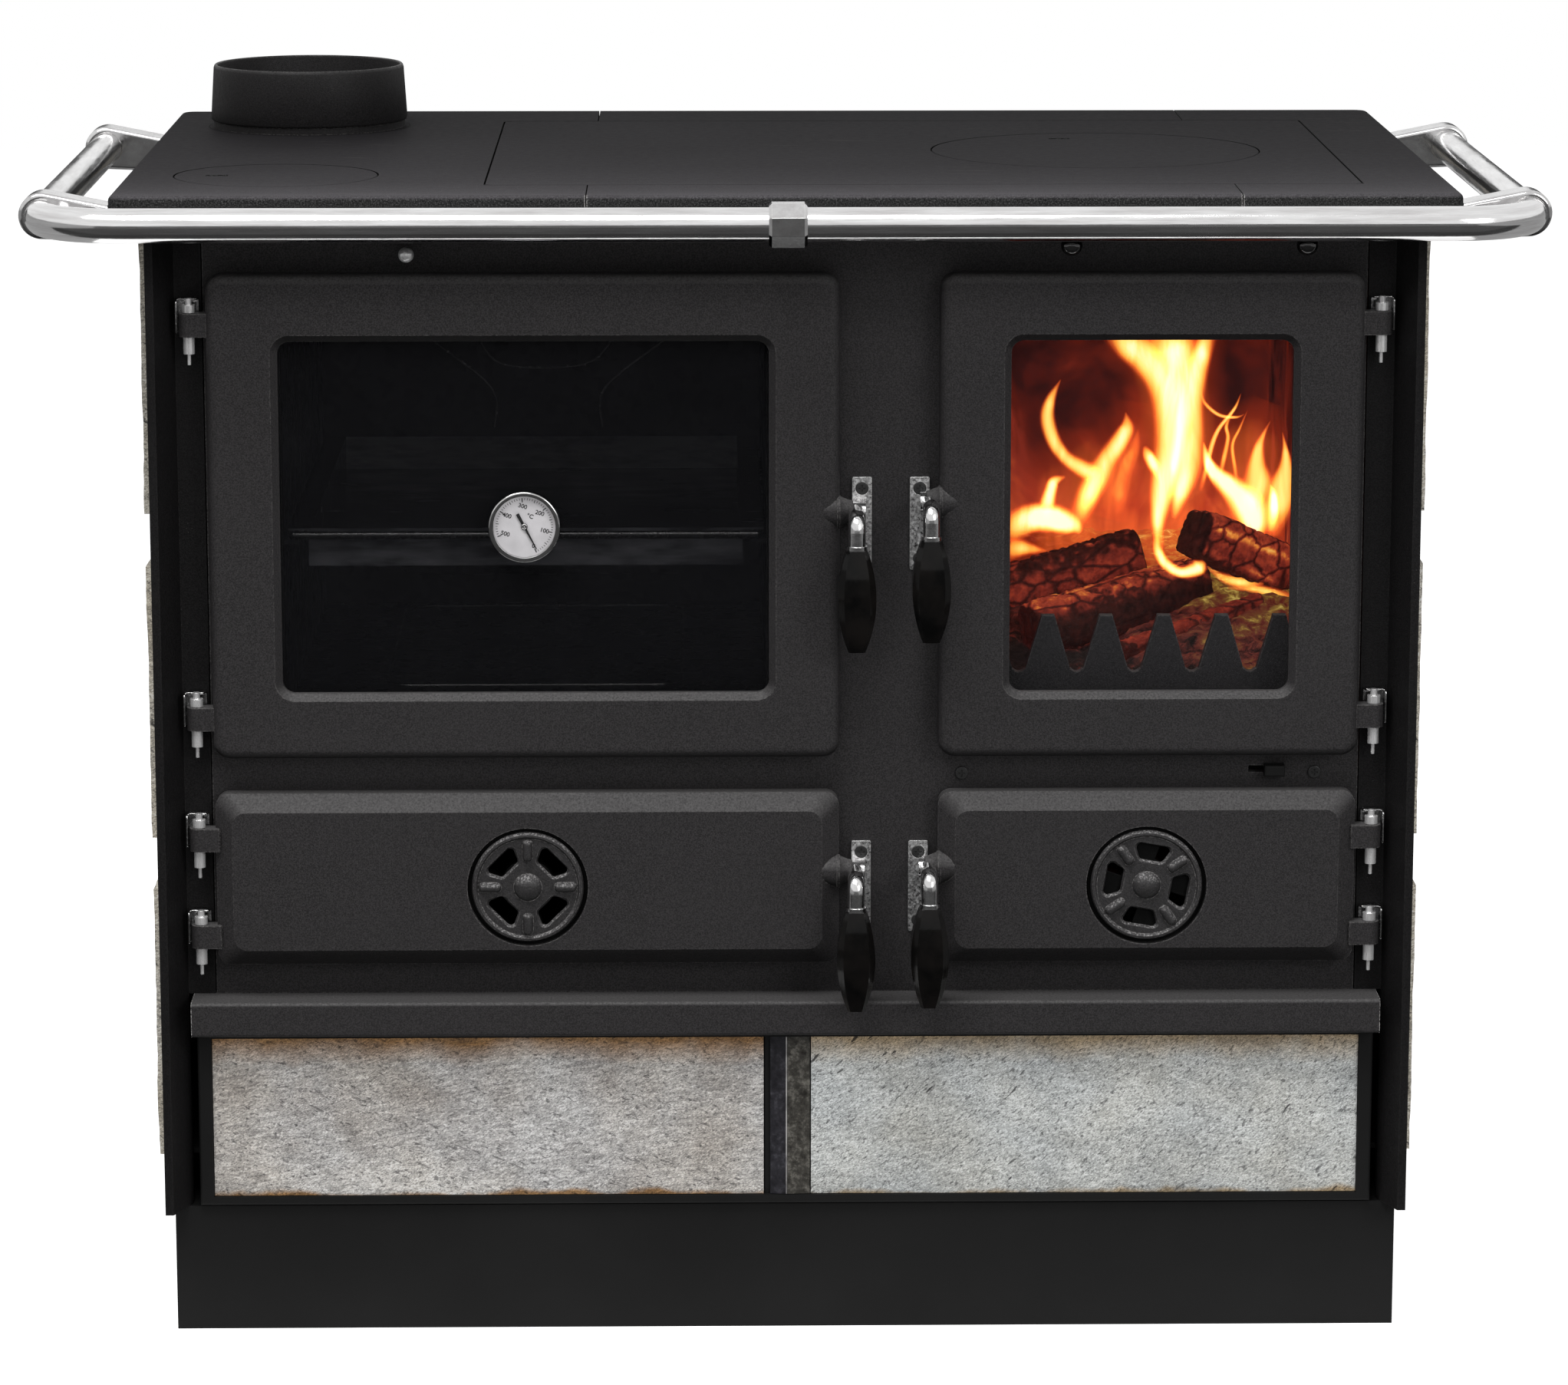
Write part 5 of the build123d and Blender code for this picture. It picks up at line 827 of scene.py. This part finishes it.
def add_bar(bm, x, angle):
    """A half-round finger bar with rounded ends, along a spoke."""
    near, far = BAR_REACH
    half_width, height = BAR_SIZE
    outward = Vector((math.cos(angle), math.sin(angle)))
    across = Vector((-outward.y, outward.x))
    rings = []
    for i in range(BAR_RINGS + 1):
        u = math.sin(math.pi * (i / BAR_RINGS - 0.5))
        full = max(0, 1 - abs(u) ** BAR_BLUNTNESS) ** 0.5
        ring = []
        for side, rise in circle(24):
            spot = outward * ((near + far) / 2 + u * (far - near) / 2) + across * side * half_width * full
            ring.append(at(x + spot.x, WEB_DEPTH - max(rise, -0.2) * height * full, WHEEL_HEIGHT + spot.y))
        rings.append(ring)
    loft(bm, rings)


def make_wheels():
    for side, (x, turn) in WHEELS.items():
        bm = bmesh.new()
        add_web(bm, x, turn)
        lathe(bm, (x, WEB_DEPTH, WHEEL_HEIGHT), "y", RIM_PROFILE, sides=96)
        lathe(bm, (x, WEB_DEPTH, WHEEL_HEIGHT), "y", DOME_PROFILE)
        for quarter in range(4):
            add_bar(bm, x, math.radians(turn + 90 * quarter))
        node = f"air_wheel_{side}"
        finish_piece(f"{node}_cast", bm, node, WHEEL_IRON, (node,), sharp=40)


# ---- back panel: pressed stiffening ribs and the screws that hold it ----
BACK_DEPTH = 569.05
RIB_HEIGHTS = (245, 455, 665)
RIB_HALF_LENGTH = 330
RIB_PROFILE = ((-0.5, 15), (0.5, 14), (2.6, 10.5), (4.4, 6), (5, 0.6))
SCREW_COLUMNS = (-440, -220, 0, 220, 440)
SCREW_ROWS = (112, 350, 560, 815)
SCREW_PROFILE = ((0.5, 0.02), (0.5, 4.4), (-0.6, 4.3), (-1.6, 3.5), (-2.3, 2.2), (-2.5, 1.7), (-1.5, 1.4),
                 (-1.5, 0.02))


def make_back_details():
    bm = bmesh.new()
    for z in RIB_HEIGHTS:
        rings = []
        for lift, reach in RIB_PROFILE:
            outline = rounded_outline(2 * (RIB_HALF_LENGTH + reach), 2 * reach, reach * 0.98, steps=12)
            rings.append([at(u, BACK_DEPTH + lift, z + v) for u, v in outline])
        loft(bm, rings, caps=True)
    finish_piece("back_panel_ribs", bm, "root", BLACK_SHEET)
    bm = bmesh.new()
    for z in SCREW_ROWS:
        for x in SCREW_COLUMNS:
            if abs(x) == SCREW_COLUMNS[-1] or z in (SCREW_ROWS[0], SCREW_ROWS[-1]):
                lathe(bm, (x, BACK_DEPTH, z), "y", SCREW_PROFILE, sides=24)
    finish_piece("back_panel_screws", bm, "root", SMALL_CHROME)


# ---- oven: the pressed lines on its floor and its back wall ----
PRESSING_RADIUS = 1.3
# The floor's line is a rounded rectangle: its middle, its two sizes and its corners.
FLOOR_PRESSING = ((-187, 340, 461.3), (222, 320, 18))
BACK_PRESSINGS = (
    ((-278, 676), (-229, 636), (-227, 604)),
    ((-88, 676), (-138, 636), (-140, 604)),
    ((-240, 678), (-219, 655), (-154, 655), (-130, 678)),
)
OVEN_BACK = 516


def add_bead(bm, line, up, closed=False):
    """A half-sunk bead along a line of points (x, depth, z); up is the way out of the sheet."""
    count = len(line)
    rings = []
    for i, point in enumerate(line):
        before = line[i - 1] if i or closed else point
        after = line[(i + 1) % count] if i < count - 1 or closed else point
        along = (Vector(after) - Vector(before)).normalized()
        side = along.cross(up).normalized()
        around = [(side * cos + up * sin) * PRESSING_RADIUS for cos, sin in circle(8)]
        rings.append([at(*(Vector(point) + out)) for out in around])
    loft(bm, rings + rings[:1] if closed else rings, caps=not closed)


def make_oven_pressings():
    bm = bmesh.new()
    (x, depth, z), (across, deep, corner) = FLOOR_PRESSING
    edge = [(x + u, depth + v, z) for u, v in rounded_outline(across, deep, corner)]
    add_bead(bm, edge, Vector((0, 0, 1)), closed=True)
    for line in BACK_PRESSINGS:
        add_bead(bm, [(u, OVEN_BACK, v) for u, v in smooth_line(line, 6)], Vector((0, -1, 0)))
    brightened = chrome("oven_pressing_worn", 0.6, 0.2)
    finish_piece("oven_pressed_lines", bm, "root", brightened, sharp=60)


# ---- stone tiles ----
TILE_STEP = 4
DRAWER_TILE_ENDS = (-16.5, 18.5)
DRAWER_TILE_RELIEF = 0.7
TILE_ROWS = ((129, 331), (370, 572), (611, 813))
SIDE_TILE_FACES = (452.2, 465.5)
SIDE_TILE_RELIEF = 1.2


def split_face(point, height, seed):
    """How far split stone stands out there, in millimetres: broad steps and fine chips."""
    place = Vector(point) / MM
    broad = noise.noise(place / 38 + Vector((seed, 0, 0)))
    fine = noise.noise(place / 9 + Vector((0, seed, 0)))
    return height * (0.7 * broad + 0.3 * fine) - height / 2


def make_tile(name, low, high, axes, height, seed, material, body="root", replaces=()):
    bm = bmesh.new()
    steps = [max(2, round(abs(high[axis] - low[axis]) / (TILE_STEP * MM))) for axis in axes[:2]]
    grid_block(bm, low, high, axes, steps, lambda point: split_face(point, height, seed))
    finish_piece(name, bm, body, material, replaces)


def make_drawer_tiles():
    low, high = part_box("drawer_tiles")
    inner = [x * MM for x in DRAWER_TILE_ENDS]
    spans = {"left": (low.x, inner[0], LEFT_STONE), "right": (inner[1], high.x, RIGHT_STONE)}
    for seed, (side, (x0, x1, material)) in enumerate(spans.items()):
        replaces = ("drawer_tiles",) if side == "left" else ()
        make_tile(f"drawer_tile_{side}", (x0, high.y, low.z), (x1, low.y, high.z), (0, 2, 1),
                  DRAWER_TILE_RELIEF, seed * 7, material, "wood_drawer", replaces)


def make_side_tiles():
    low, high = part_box("side_tiles")
    for side in (-1, 1):
        for row, (z0, z1) in enumerate(TILE_ROWS):
            inner, outer = (side * face * MM for face in SIDE_TILE_FACES)
            replaces = ("side_tiles",) if side < 0 and row == 0 else ()
            name = f"side_tile_{'left' if side < 0 else 'right'}_{row + 1}"
            make_tile(name, (inner, low.y, z0 * MM), (outer, high.y, z1 * MM), (1, 2, 0), SIDE_TILE_RELIEF,
                      side * 11 + row * 5, SIDE_STONE, replaces=replaces)


# ---- thermometer print ----
DIAL_ZERO_ANGLE = -65.7
DIAL_STEP_ANGLE = 5.33
DIAL_MARKS = 51
MARK_RISE = 0.06
# The marks' inner ends, as shares of the dial's radius, and their half widths: hundreds, fifties, tens.
MARK_SIZES = {0: (0.79, 0.36), 5: (0.83, 0.25)}
SMALL_MARK = (0.86, 0.19)
MARK_OUTER = 0.925
PRINT = cloudy("dial_print_black", (0.012,) * 3, 0.6)
NUMERAL_SIZE = 4.4
NUMERAL_TILT = -16
NUMERAL_WEIGHT = 0.09
NUMERAL_THICKNESS = 0.03
# Where the numerals, the zero and the unit are, as shares of the dial's radius, and the unit's angle.
NUMERAL_PLACE = 0.66
ZERO_PLACE = 0.7
UNIT_PLACE = 0.38
UNIT_ANGLE = 60


def dial_point(radius, angle, rise=MARK_RISE):
    turn = math.radians(angle)
    x, z = DIAL_CENTRE
    return at(x + radius * math.cos(turn), DIAL_DEPTH - rise, z + radius * math.sin(turn))


def make_dial_marks():
    """The dial's ticks as thin raised bars: long ones each hundred, middling each fifty."""
    bm = bmesh.new()
    for k in range(DIAL_MARKS):
        inner, half = MARK_SIZES.get(k % 10, SMALL_MARK)
        angle = DIAL_ZERO_ANGLE + DIAL_STEP_ANGLE * k
        spread = math.degrees(half / DIAL_RADIUS)
        corners = [(share * DIAL_RADIUS, angle + side * spread / share)
                   for share, side in ((inner, -1), (inner, 1), (MARK_OUTER, 1), (MARK_OUTER, -1))]
        rises = (-0.02, MARK_RISE)
        loft(bm, [[dial_point(*corner, rise) for corner in corners] for rise in rises], caps=True)
    finish_piece("thermometer_marks", bm, "oven_door", PRINT)


def make_dial_text(name, text, radius, angle):
    curve = bpy.data.curves.new(name, "FONT")
    curve.body = text
    curve.size = NUMERAL_SIZE * MM
    curve.align_x = "CENTER"
    curve.align_y = "CENTER"
    curve.offset = NUMERAL_WEIGHT * MM
    curve.extrude = NUMERAL_THICKNESS * MM
    curve.materials.append(PRINT)
    label = add_object(name, curve)
    facing = Matrix.Rotation(math.radians(90), 4, "X")
    tilt = Matrix.Rotation(math.radians(-NUMERAL_TILT), 4, "Y")
    label.matrix_world = Matrix.Translation(dial_point(radius, angle, MARK_RISE - 0.02)) @ tilt @ facing
    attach(label, "oven_door")


HUB_DEPTH = 31.4
HUB_PROFILE = ((0, 1.1), (0, 2.2), (0.35, 2.1), (0.5, 1.6), (0.35, 1.15))


def make_needle_hub():
    """The pale ring round the needle's pivot."""
    bm = bmesh.new()
    x, z = DIAL_CENTRE
    lathe(bm, (x, HUB_DEPTH, z), "y", HUB_PROFILE, sides=32)
    finish_piece("thermometer_hub_ring", bm, "thermometer_needle", SMALL_CHROME)


def make_dial_print():
    make_dial_marks()
    make_needle_hub()
    for hundred in range(6):
        angle = DIAL_ZERO_ANGLE + DIAL_STEP_ANGLE * 10 * hundred
        text = str(100 * hundred)
        radius = DIAL_RADIUS * (NUMERAL_PLACE if hundred else ZERO_PLACE)
        make_dial_text(f"thermometer_numeral_{text}", text, radius, angle)
    make_dial_text("thermometer_unit", "°C", DIAL_RADIUS * UNIT_PLACE, UNIT_ANGLE)


# ---- fire: flames, logs and embers, which are no part of the stove's metal ----
FLAME = flame_light("flame_glow")
# Each flame: its depth, its heat and its stroke of (pixel x, pixel y, half width) in the photograph.
FLAMES = {
    "halo_left": (300, 0.3, [(1310, 720, 40), (1370, 660, 62), (1430, 610, 66), (1470, 560, 46),
        (1480, 500, 20)]),
    "halo_main": (306, 0.34, [(1516, 720, 30), (1524, 640, 52), (1538, 560, 58), (1532, 480, 50),
        (1520, 420, 66), (1512, 396, 70)]),
    "halo_right": (302, 0.32, [(1700, 720, 40), (1650, 670, 62), (1630, 600, 56), (1640, 540, 40),
        (1655, 500, 16)]),
    "halo_low": (296, 0.36, [(1300, 700, 30), (1400, 690, 44), (1500, 680, 46), (1600, 690, 44),
        (1710, 700, 30)]),
    "main_left": (230, 1, [(1518, 696, 4.6), (1514, 669, 7.3), (1517, 637, 11.8), (1524, 600, 17.3),
        (1533, 559, 21), (1530, 514, 20), (1518, 473, 19.1), (1496, 443, 19.1), (1473, 425, 17.3),
        (1450, 405, 13.7)]),
    "main_right": (236, 0.95, [(1535, 655, 3.6), (1541, 628, 10), (1550, 591, 16.4), (1553, 550, 16.4),
        (1553, 505, 15.5), (1560, 464, 13.7), (1569, 432, 11.8), (1579, 405, 10)]),
    "main_core": (224, 1.05, [(1528, 637, 2.7), (1533, 596, 9.1), (1539, 550, 13.7), (1541, 505, 15.5),
        (1537, 464, 21), (1528, 427, 27.3), (1523, 400, 31.9)]),
    "hook": (165, 1, [(1512, 673, 3.6), (1514, 696, 5.5), (1524, 715, 6.4), (1544, 727, 6.4),
        (1562, 724, 8.2), (1570, 719, 9.1), (1576, 713, 3.6)]),
    "spur": (220, 0.95, [(1521, 614, 2.7), (1510, 589, 7.3), (1500, 571, 6.4), (1495, 560, 2.7)]),
    "left_tall": (262, 0.8, [(1409, 655, 13.7), (1423, 628, 10.9), (1431, 600, 11.8), (1414, 589, 10),
        (1393, 575, 8.2), (1377, 553, 8.2), (1368, 523, 8.2), (1372, 498, 5.9), (1385, 472, 0.5)]),
    "left_fork": (256, 0.85, [(1405, 664, 10), (1419, 632, 13.7), (1435, 600, 14.6), (1448, 575, 11.8),
        (1463, 553, 10.9), (1472, 534, 8.2), (1470, 515, 0.5)]),
    "left_veil": (285, 0.5, [(1450, 655, 18.2), (1457, 628, 16.4), (1464, 596, 15.5), (1480, 564, 9.1),
        (1487, 537, 0.9)]),
    "left_mass": (208, 1.2, [(1314, 673, 18.2), (1346, 655, 16.4), (1377, 655, 15.5), (1403, 664, 11.8),
        (1413, 674, 3.6)]),
    "left_curl": (202, 0.95, [(1368, 660, 11.8), (1369, 637, 9.1), (1373, 619, 7.3), (1378, 606, 6.4),
        (1392, 600, 1.8)]),
    "left_low": (200, 0.9, [(1314, 696, 15.5), (1336, 694, 10), (1368, 698, 1.8)]),
    "wisp_a": (232, 0.7, [(1569, 619, 3.2), (1576, 591, 3.2), (1583, 559, 3.2), (1592, 537, 2.7),
        (1606, 519, 2.3), (1614, 507, 1.8), (1620, 491, 0.5)]),
    "wisp_b": (230, 0.65, [(1567, 484, 1.4), (1573, 503, 2.3), (1592, 519, 2.3), (1614, 522, 1.8),
        (1625, 518, 0.5)]),
    "wisp_c": (238, 0.65, [(1592, 614, 2.7), (1598, 582, 3.2), (1604, 550, 2.7), (1602, 532, 2.3),
        (1614, 508, 0.5)]),
    "wisp_d": (242, 0.6, [(1619, 628, 2.7), (1614, 591, 2.7), (1610, 559, 2.3), (1619, 537, 1.8),
        (1629, 513, 0.5)]),
    "right_band": (214, 1.25, [(1572, 555, 1.4), (1579, 582, 6.4), (1592, 600, 10), (1614, 619, 15.5),
        (1633, 641, 21), (1642, 669, 14.6), (1645, 686, 2.7)]),
    "right_tall": (244, 0.85, [(1637, 673, 9.1), (1635, 637, 15.5), (1643, 610, 17.3), (1642, 582, 10),
        (1646, 555, 4.6), (1659, 527, 0.5)]),
    "right_edge": (250, 0.85, [(1664, 678, 10.9), (1669, 646, 16.4), (1676, 614, 15.5), (1680, 587, 8.2),
        (1679, 564, 3.6), (1675, 542, 0.5)]),
    "spill": (200, 0.9, [(1583, 724, 2), (1605, 736, 6), (1630, 741, 6), (1654, 743, 2)]),
    "spill_low": (196, 0.75, [(1606, 748, 2), (1640, 749, 5), (1670, 756, 6), (1702, 764, 5)]),
    "right_hot": (210, 1.2, [(1661, 673, 5.5), (1665, 646, 6.8), (1664, 623, 5), (1660, 610, 0.9)]),
}
FLAME_ACROSS = 11
FLAME_STEPS = 7
FLAME_SPREAD = 1.4


def loft_glowing(rings, glows, closed=True):
    """A new mesh of joined rings with a glow on each vertex, its rows of vertices and its glow layer."""
    bm = bmesh.new()
    layer = bm.verts.layers.float.new("glow")
    rows = loft(bm, rings, closed)
    for vertex, value in zip((v for row in rows for v in row), glows):
        vertex[layer] = value
    return bm, rows, layer


def make_flame(name, depth, hot, stroke):
    """A bulging ribbon along a stroke, hottest down its middle."""
    line = smooth_line(stroke, FLAME_STEPS)
    rings, glows = [], []
    for i, (px, py, half) in enumerate(line):
        before, after = line[max(i - 1, 0)], line[min(i + 1, len(line) - 1)]
        along = Vector((after[0] - before[0], after[1] - before[1]))
        side = Vector((along.y, -along.x)).normalized()
        end = min(1, i / FLAME_STEPS / 1.2, (len(line) - 1 - i) / FLAME_STEPS / 1.2)
        ring = []
        for k in range(FLAME_ACROSS):
            u = 2 * k / (FLAME_ACROSS - 1) - 1
            reach = max(half, 0.4) * FLAME_SPREAD * u
            x, z = seen_at(px + side.x * reach, py + side.y * reach, depth)
            ring.append(at(x, depth - 0.25 * half * (1 - u * u), z))
            glows.append(hot * (1 - u * u) ** 1.05 * (0.3 + 0.7 * end))
        rings.append(ring)
    bm = loft_glowing(rings, glows, closed=False)[0]
    finish_piece(f"flame_{name}", bm, "root", FLAME, sharp=180)


# Each log: its ends as (pixel x, pixel y, depth), radius, squareness from 2 (round) up, how warm it looks at
# its sides, more on its upper side and in specks, and the angles of brighter splits round it.
LOGS = {
    "left": (((1312, 752, 232), (1492, 702, 244)), 20, 3, (0.42, -0.3, 0.5), ()),
    "big": (((1348, 802, 150), (1572, 742, 212)), 21, 2.5, (0.03, 0.5, 0.3), ()),
    "stick": (((1440, 840, 128), (1650, 768, 182)), 8, 2.5, (0.3, 0.12, 0.15), ()),
    "block": (((1563, 672, 186), (1712, 738, 244)), 19, 6, (0.47, 0.04, 0.2), (22, -33)),
}
LOG_SIDES = 64
LOG_RINGS = 90
LOG_SEED = 4
LOG_GRAIN = 16
LOG_END_GLOW = 0.12
SPLIT_WIDTH = 7


def log_warmth(warm, splits, direction, turn, place):
    """How much a log glows at a point of its bark."""
    base, top, specks = warm
    up = max(0, min(1, (direction.z - 0.2) / 0.6))
    glow = base * max(0.15, min(1, 1.1 + direction.z)) + top * up
    glow += specks * (0.3 + up) * max(0, noise.noise(place * 2.5))
    for split in splits:
        apart = (math.degrees(turn) - split + 180) % 360 - 180
        glow += 0.5 * math.exp(-(apart / SPLIT_WIDTH) ** 2) * (0.6 + noise.noise(place * 0.7))
    return glow


def log_roughness(place):
    """How far the bark stands out there, in millimetres, with cracks between its scales."""
    cells = noise.voronoi(place * 1.6)[0]
    cracks = max(0, 1 - (cells[1] - cells[0]) / 0.2)
    return 1.3 * noise.noise(place) + 0.9 * noise.noise(place * 3.5) - 1.6 * cracks


def make_log(name, material, ends, radius, square, warm, splits):
    """A burning log: an uneven bar with cracked bark and rough ends."""
    low, high = (Vector((x, depth, z)) for (px, py, depth) in ends for x, z in (seen_at(px, py, depth),))
    along = (high - low).normalized()
    side = along.cross(Vector((0, 0, 1))).normalized()
    up = side.cross(along)
    rings, glows = [], []
    for i in range(LOG_RINGS + 1):
        t = i / LOG_RINGS
        centre = low.lerp(high, t) + up * math.sin(3 * t + LOG_SEED)
        end = min(1, 0.86 + 0.14 * math.sqrt(min(t, 1 - t) * 12))
        ring = []
        for k in range(LOG_SIDES):
            turn = 2 * math.pi * k / LOG_SIDES
            direction = side * math.cos(turn) + up * math.sin(turn)
            shape = (abs(math.cos(turn)) ** square + abs(math.sin(turn)) ** square) ** (-1 / square)
            place = (centre + direction * radius) / LOG_GRAIN + Vector((LOG_SEED, 0, 0))
            rough = log_roughness(place) * min(1, radius / 12)
            ring.append(at(*(centre + direction * (radius * shape * end + rough))))
            is_end = i in (0, LOG_RINGS)
            glows.append(LOG_END_GLOW if is_end else log_warmth(warm, splits, direction, turn, place))
        rings.append(ring)
    bm, rows, layer = loft_glowing(rings, glows)
    for row, sign in ((rows[0], -1), (rows[-1], 1)):
        middle = sum((v.co for v in row), Vector()) / len(row)
        tip = bm.verts.new(middle + along * sign * 1.5 * MM)
        tip[layer] = LOG_END_GLOW
        for k, vertex in enumerate(row):
            bm.faces.new((vertex, row[(k + 1) % len(row)], tip))
    finish_piece(f"log_{name}", bm, "root", material, sharp=50)


BED_INSET = 1
BED_STEPS = (60, 90)
BED_FRONT_HEIGHT = 50
BED_RISE = 38
BED_SLOPE = 110
# The depths at which the bed starts to rise, at the left and at the right, and between which X that changes.
BED_STARTS = (140, 80)
BED_CHANGE = (240, 310)


def make_ember_bed():
    """The heap of coals that the logs lie on, a closed lump that fills the firebox's floor."""
    bm = bmesh.new()

    def heap(point):
        x, y, z = point / MM
        low, high = BED_CHANGE
        share = max(0, min(1, (x - low) / (high - low)))
        start = BED_STARTS[0] - (BED_STARTS[0] - BED_STARTS[1]) * share
        rise = BED_FRONT_HEIGHT + BED_RISE * max(0, min(1, (y - FRONT - start) / BED_SLOPE))
        for coarse, slice_z, height in ((28, 0, 4), (9, 7, 4), (4, 3, 2)):
            rise += height * noise.noise(Vector((x, y, slice_z)) / coarse)
        return rise

    low = at(FIRE_X[0] + BED_INSET, FIRE_DEPTHS[0] + BED_INSET, FIRE_FLOOR)
    high = at(FIRE_X[1] - BED_INSET, FIRE_DEPTHS[1] - BED_INSET, FIRE_FLOOR + 0.5)
    grid_block(bm, low, high, (0, 1, 2), BED_STEPS, heap)
    finish_piece("ember_bed", bm, "root", ember_coals("ember_bed_glow"), sharp=180)


GLOW_GAPS = (3, 4)
GLOW_CORNER = 40
GLOW_SIDE_START = 150
GLOW_HEIGHTS = (FIRE_FLOOR + 40, 560, 650, BRICK_TOP - 4)


def make_smoke_glow():
    """A thin curtain of smoke round the back and sides of the firebox, standing on the coals, with painted
    firelight glowing on it.
    """
    side_gap, back_gap = GLOW_GAPS
    left, right, back = FIRE_X[0] + side_gap, FIRE_X[1] - side_gap, FIRE_DEPTHS[1] - back_gap
    plan = [(left, GLOW_SIDE_START)]
    for x, start in ((left + GLOW_CORNER, 180), (right - GLOW_CORNER, 90)):
        for k in range(9):
            turn = math.radians(start - 90 * k / 8)
            depth = back - GLOW_CORNER + GLOW_CORNER * math.sin(turn)
            plan.append((x + GLOW_CORNER * math.cos(turn), depth))
    plan.append((right, GLOW_SIDE_START))
    bm = bmesh.new()
    loft(bm, [[at(x, depth, z) for x, depth in plan] for z in GLOW_HEIGHTS], closed=False)
    finish_piece("smoke_glow", bm, "root", smoke_glow("smoke_glow_red"), sharp=180)


def make_fire():
    """The logs, embers, smoke and flames. The rail and the grips don't mirror them in the photograph."""
    others = set(SCENE.objects)
    make_smoke_glow()
    make_ember_bed()
    crust = charred_wood("charred_wood_crust")
    for name, log in LOGS.items():
        make_log(name, crust, *log)
    for name, flame in FLAMES.items():
        make_flame(name, *flame)
    for piece in set(SCENE.objects) - others:
        piece.visible_glossy = False


# ---- stage ----
def make_camera():
    data = bpy.data.cameras.new("photo_camera")
    data.lens = LENS
    data.sensor_width = SENSOR
    data.clip_end = 100
    camera = add_object("photo_camera", data)
    camera.location = at(*CAMERA)
    camera.rotation_euler = (math.radians(90 - AIM_DOWN), 0, math.radians(-AIM_RIGHT))
    SCENE.camera = camera


WORLD_LIGHT = 0.34
FLOOR_COLOUR = 0.86
FLOOR_SHOWN = 0.8
FLOOR_REACH = 8


def make_world():
    """White where it is seen or mirrored, and dimmer as a light."""
    SCENE.world = bpy.data.worlds.new("studio")
    nodes = Nodes(SCENE.world)
    background = nodes.tree.nodes["Background"]
    nodes.put(background.inputs["Color"], (1, 1, 1, 1))
    nodes.put(background.inputs["Strength"], nodes.span(nodes.shown_rays(), 0, 1, WORLD_LIGHT, 1))


# Each lamp: its place, its size and its power.
LAMPS = {
    "key": ((-0.9, -1.7, 3.6), (2.6, 1.4), 105),
    "fill": ((2.4, -3.2, 2.2), (1.6, 1.5), 42),
}


def make_lamps():
    for name, (place, size, power) in LAMPS.items():
        data = bpy.data.lights.new(name, "AREA")
        data.shape = "RECTANGLE"
        data.size, data.size_y = size
        data.energy = power
        lamp = add_object(name, data)
        lamp.location = place
        lamp.rotation_euler = (Vector((0, 0, 0.5)) - Vector(place)).to_track_quat("-Z", "Y").to_euler()
        lamp.visible_camera = False


# Studio flags that only polished surfaces see, in metres: two opposite corners, and the grey of each.
# Those on the floor leave the stove's own place free.
LEFT, RIGHT = -3.4, 3.4
NEAR, FAR = -5.4, 4.5
STOVE_SIDE = 0.7
STOVE_FRONT = -0.33
NEAR_STRIP = -0.95
LIFT = 0.004
WALL = 1.3
FLAGS = {
    "floor_near": ((LEFT, NEAR_STRIP, LIFT), (RIGHT, STOVE_FRONT, LIFT), 0.05),
    "floor_far": ((LEFT, NEAR, LIFT), (RIGHT, NEAR_STRIP, LIFT), 0.08),
    "floor_left": ((LEFT, STOVE_FRONT, LIFT), (-STOVE_SIDE, FAR, LIFT), 0.38),
    "floor_right": ((STOVE_SIDE, STOVE_FRONT, LIFT), (RIGHT, FAR, LIFT), 0.38),
    "front": ((LEFT, NEAR, 0), (RIGHT, NEAR, WALL), 0.15),
    "behind": ((LEFT, FAR, -0.5), (RIGHT, FAR, 1.33), 0.09),
    "left": ((LEFT, NEAR, 0), (LEFT, FAR, WALL), 0.38),
    "right": ((RIGHT, NEAR, 0), (RIGHT, FAR, WALL), 0.38),
}


def add_sheet(name, corners, material):
    """A flat sheet of the studio, which is no part of the stove."""
    mesh = bpy.data.meshes.new(name)
    mesh.from_pydata(corners, [], [(0, 1, 2, 3)])
    mesh.materials.append(material)
    sheet = add_object(name, mesh)
    return sheet


def make_flags():
    for name, ((x0, y0, z0), (x1, y1, z1), grey) in FLAGS.items():
        if z0 == z1:
            corners = ((x0, y0, z0), (x1, y0, z0), (x1, y1, z0), (x0, y1, z0))
        else:
            corners = ((x0, y0, z0), (x1, y1, z0), (x1, y1, z1), (x0, y0, z1))
        f = Finish(f"flag_{name}_grey", 0)
        glow = f.done((0, 0, 0, 1), 1, Emission_Color=(1, 1, 1, 1), Emission_Strength=grey)
        flag = add_sheet(f"flag_{name}", corners, glow)
        for ray in ("camera", "diffuse", "transmission", "shadow"):
            setattr(flag, f"visible_{ray}", False)


def make_floor():
    corners = [(x * FLOOR_REACH, y * FLOOR_REACH, 0) for x, y in ((-1, -1), (1, -1), (1, 1), (-1, 1))]
    f = Finish("studio_floor_pale", 0)
    shown = f.times(f.shown_rays(), FLOOR_SHOWN)
    glow = {"Emission_Color": (1, 1, 1, 1), "Emission_Strength": shown}
    add_sheet("studio_floor", corners, f.done((FLOOR_COLOUR,) * 3 + (1,), 0.9, **glow))


make_camera()
make_world()
make_lamps()
make_flags()
make_floor()
finish_nodes()
make_flue_collar()
make_hinge_brackets()
make_sleeves()
make_wheels()
make_back_details()
make_oven_pressings()
make_drawer_tiles()
make_side_tiles()
make_dial_print()
make_fire()
SCENE.view_settings.view_transform = "Standard"
bpy.context.view_layer.update()
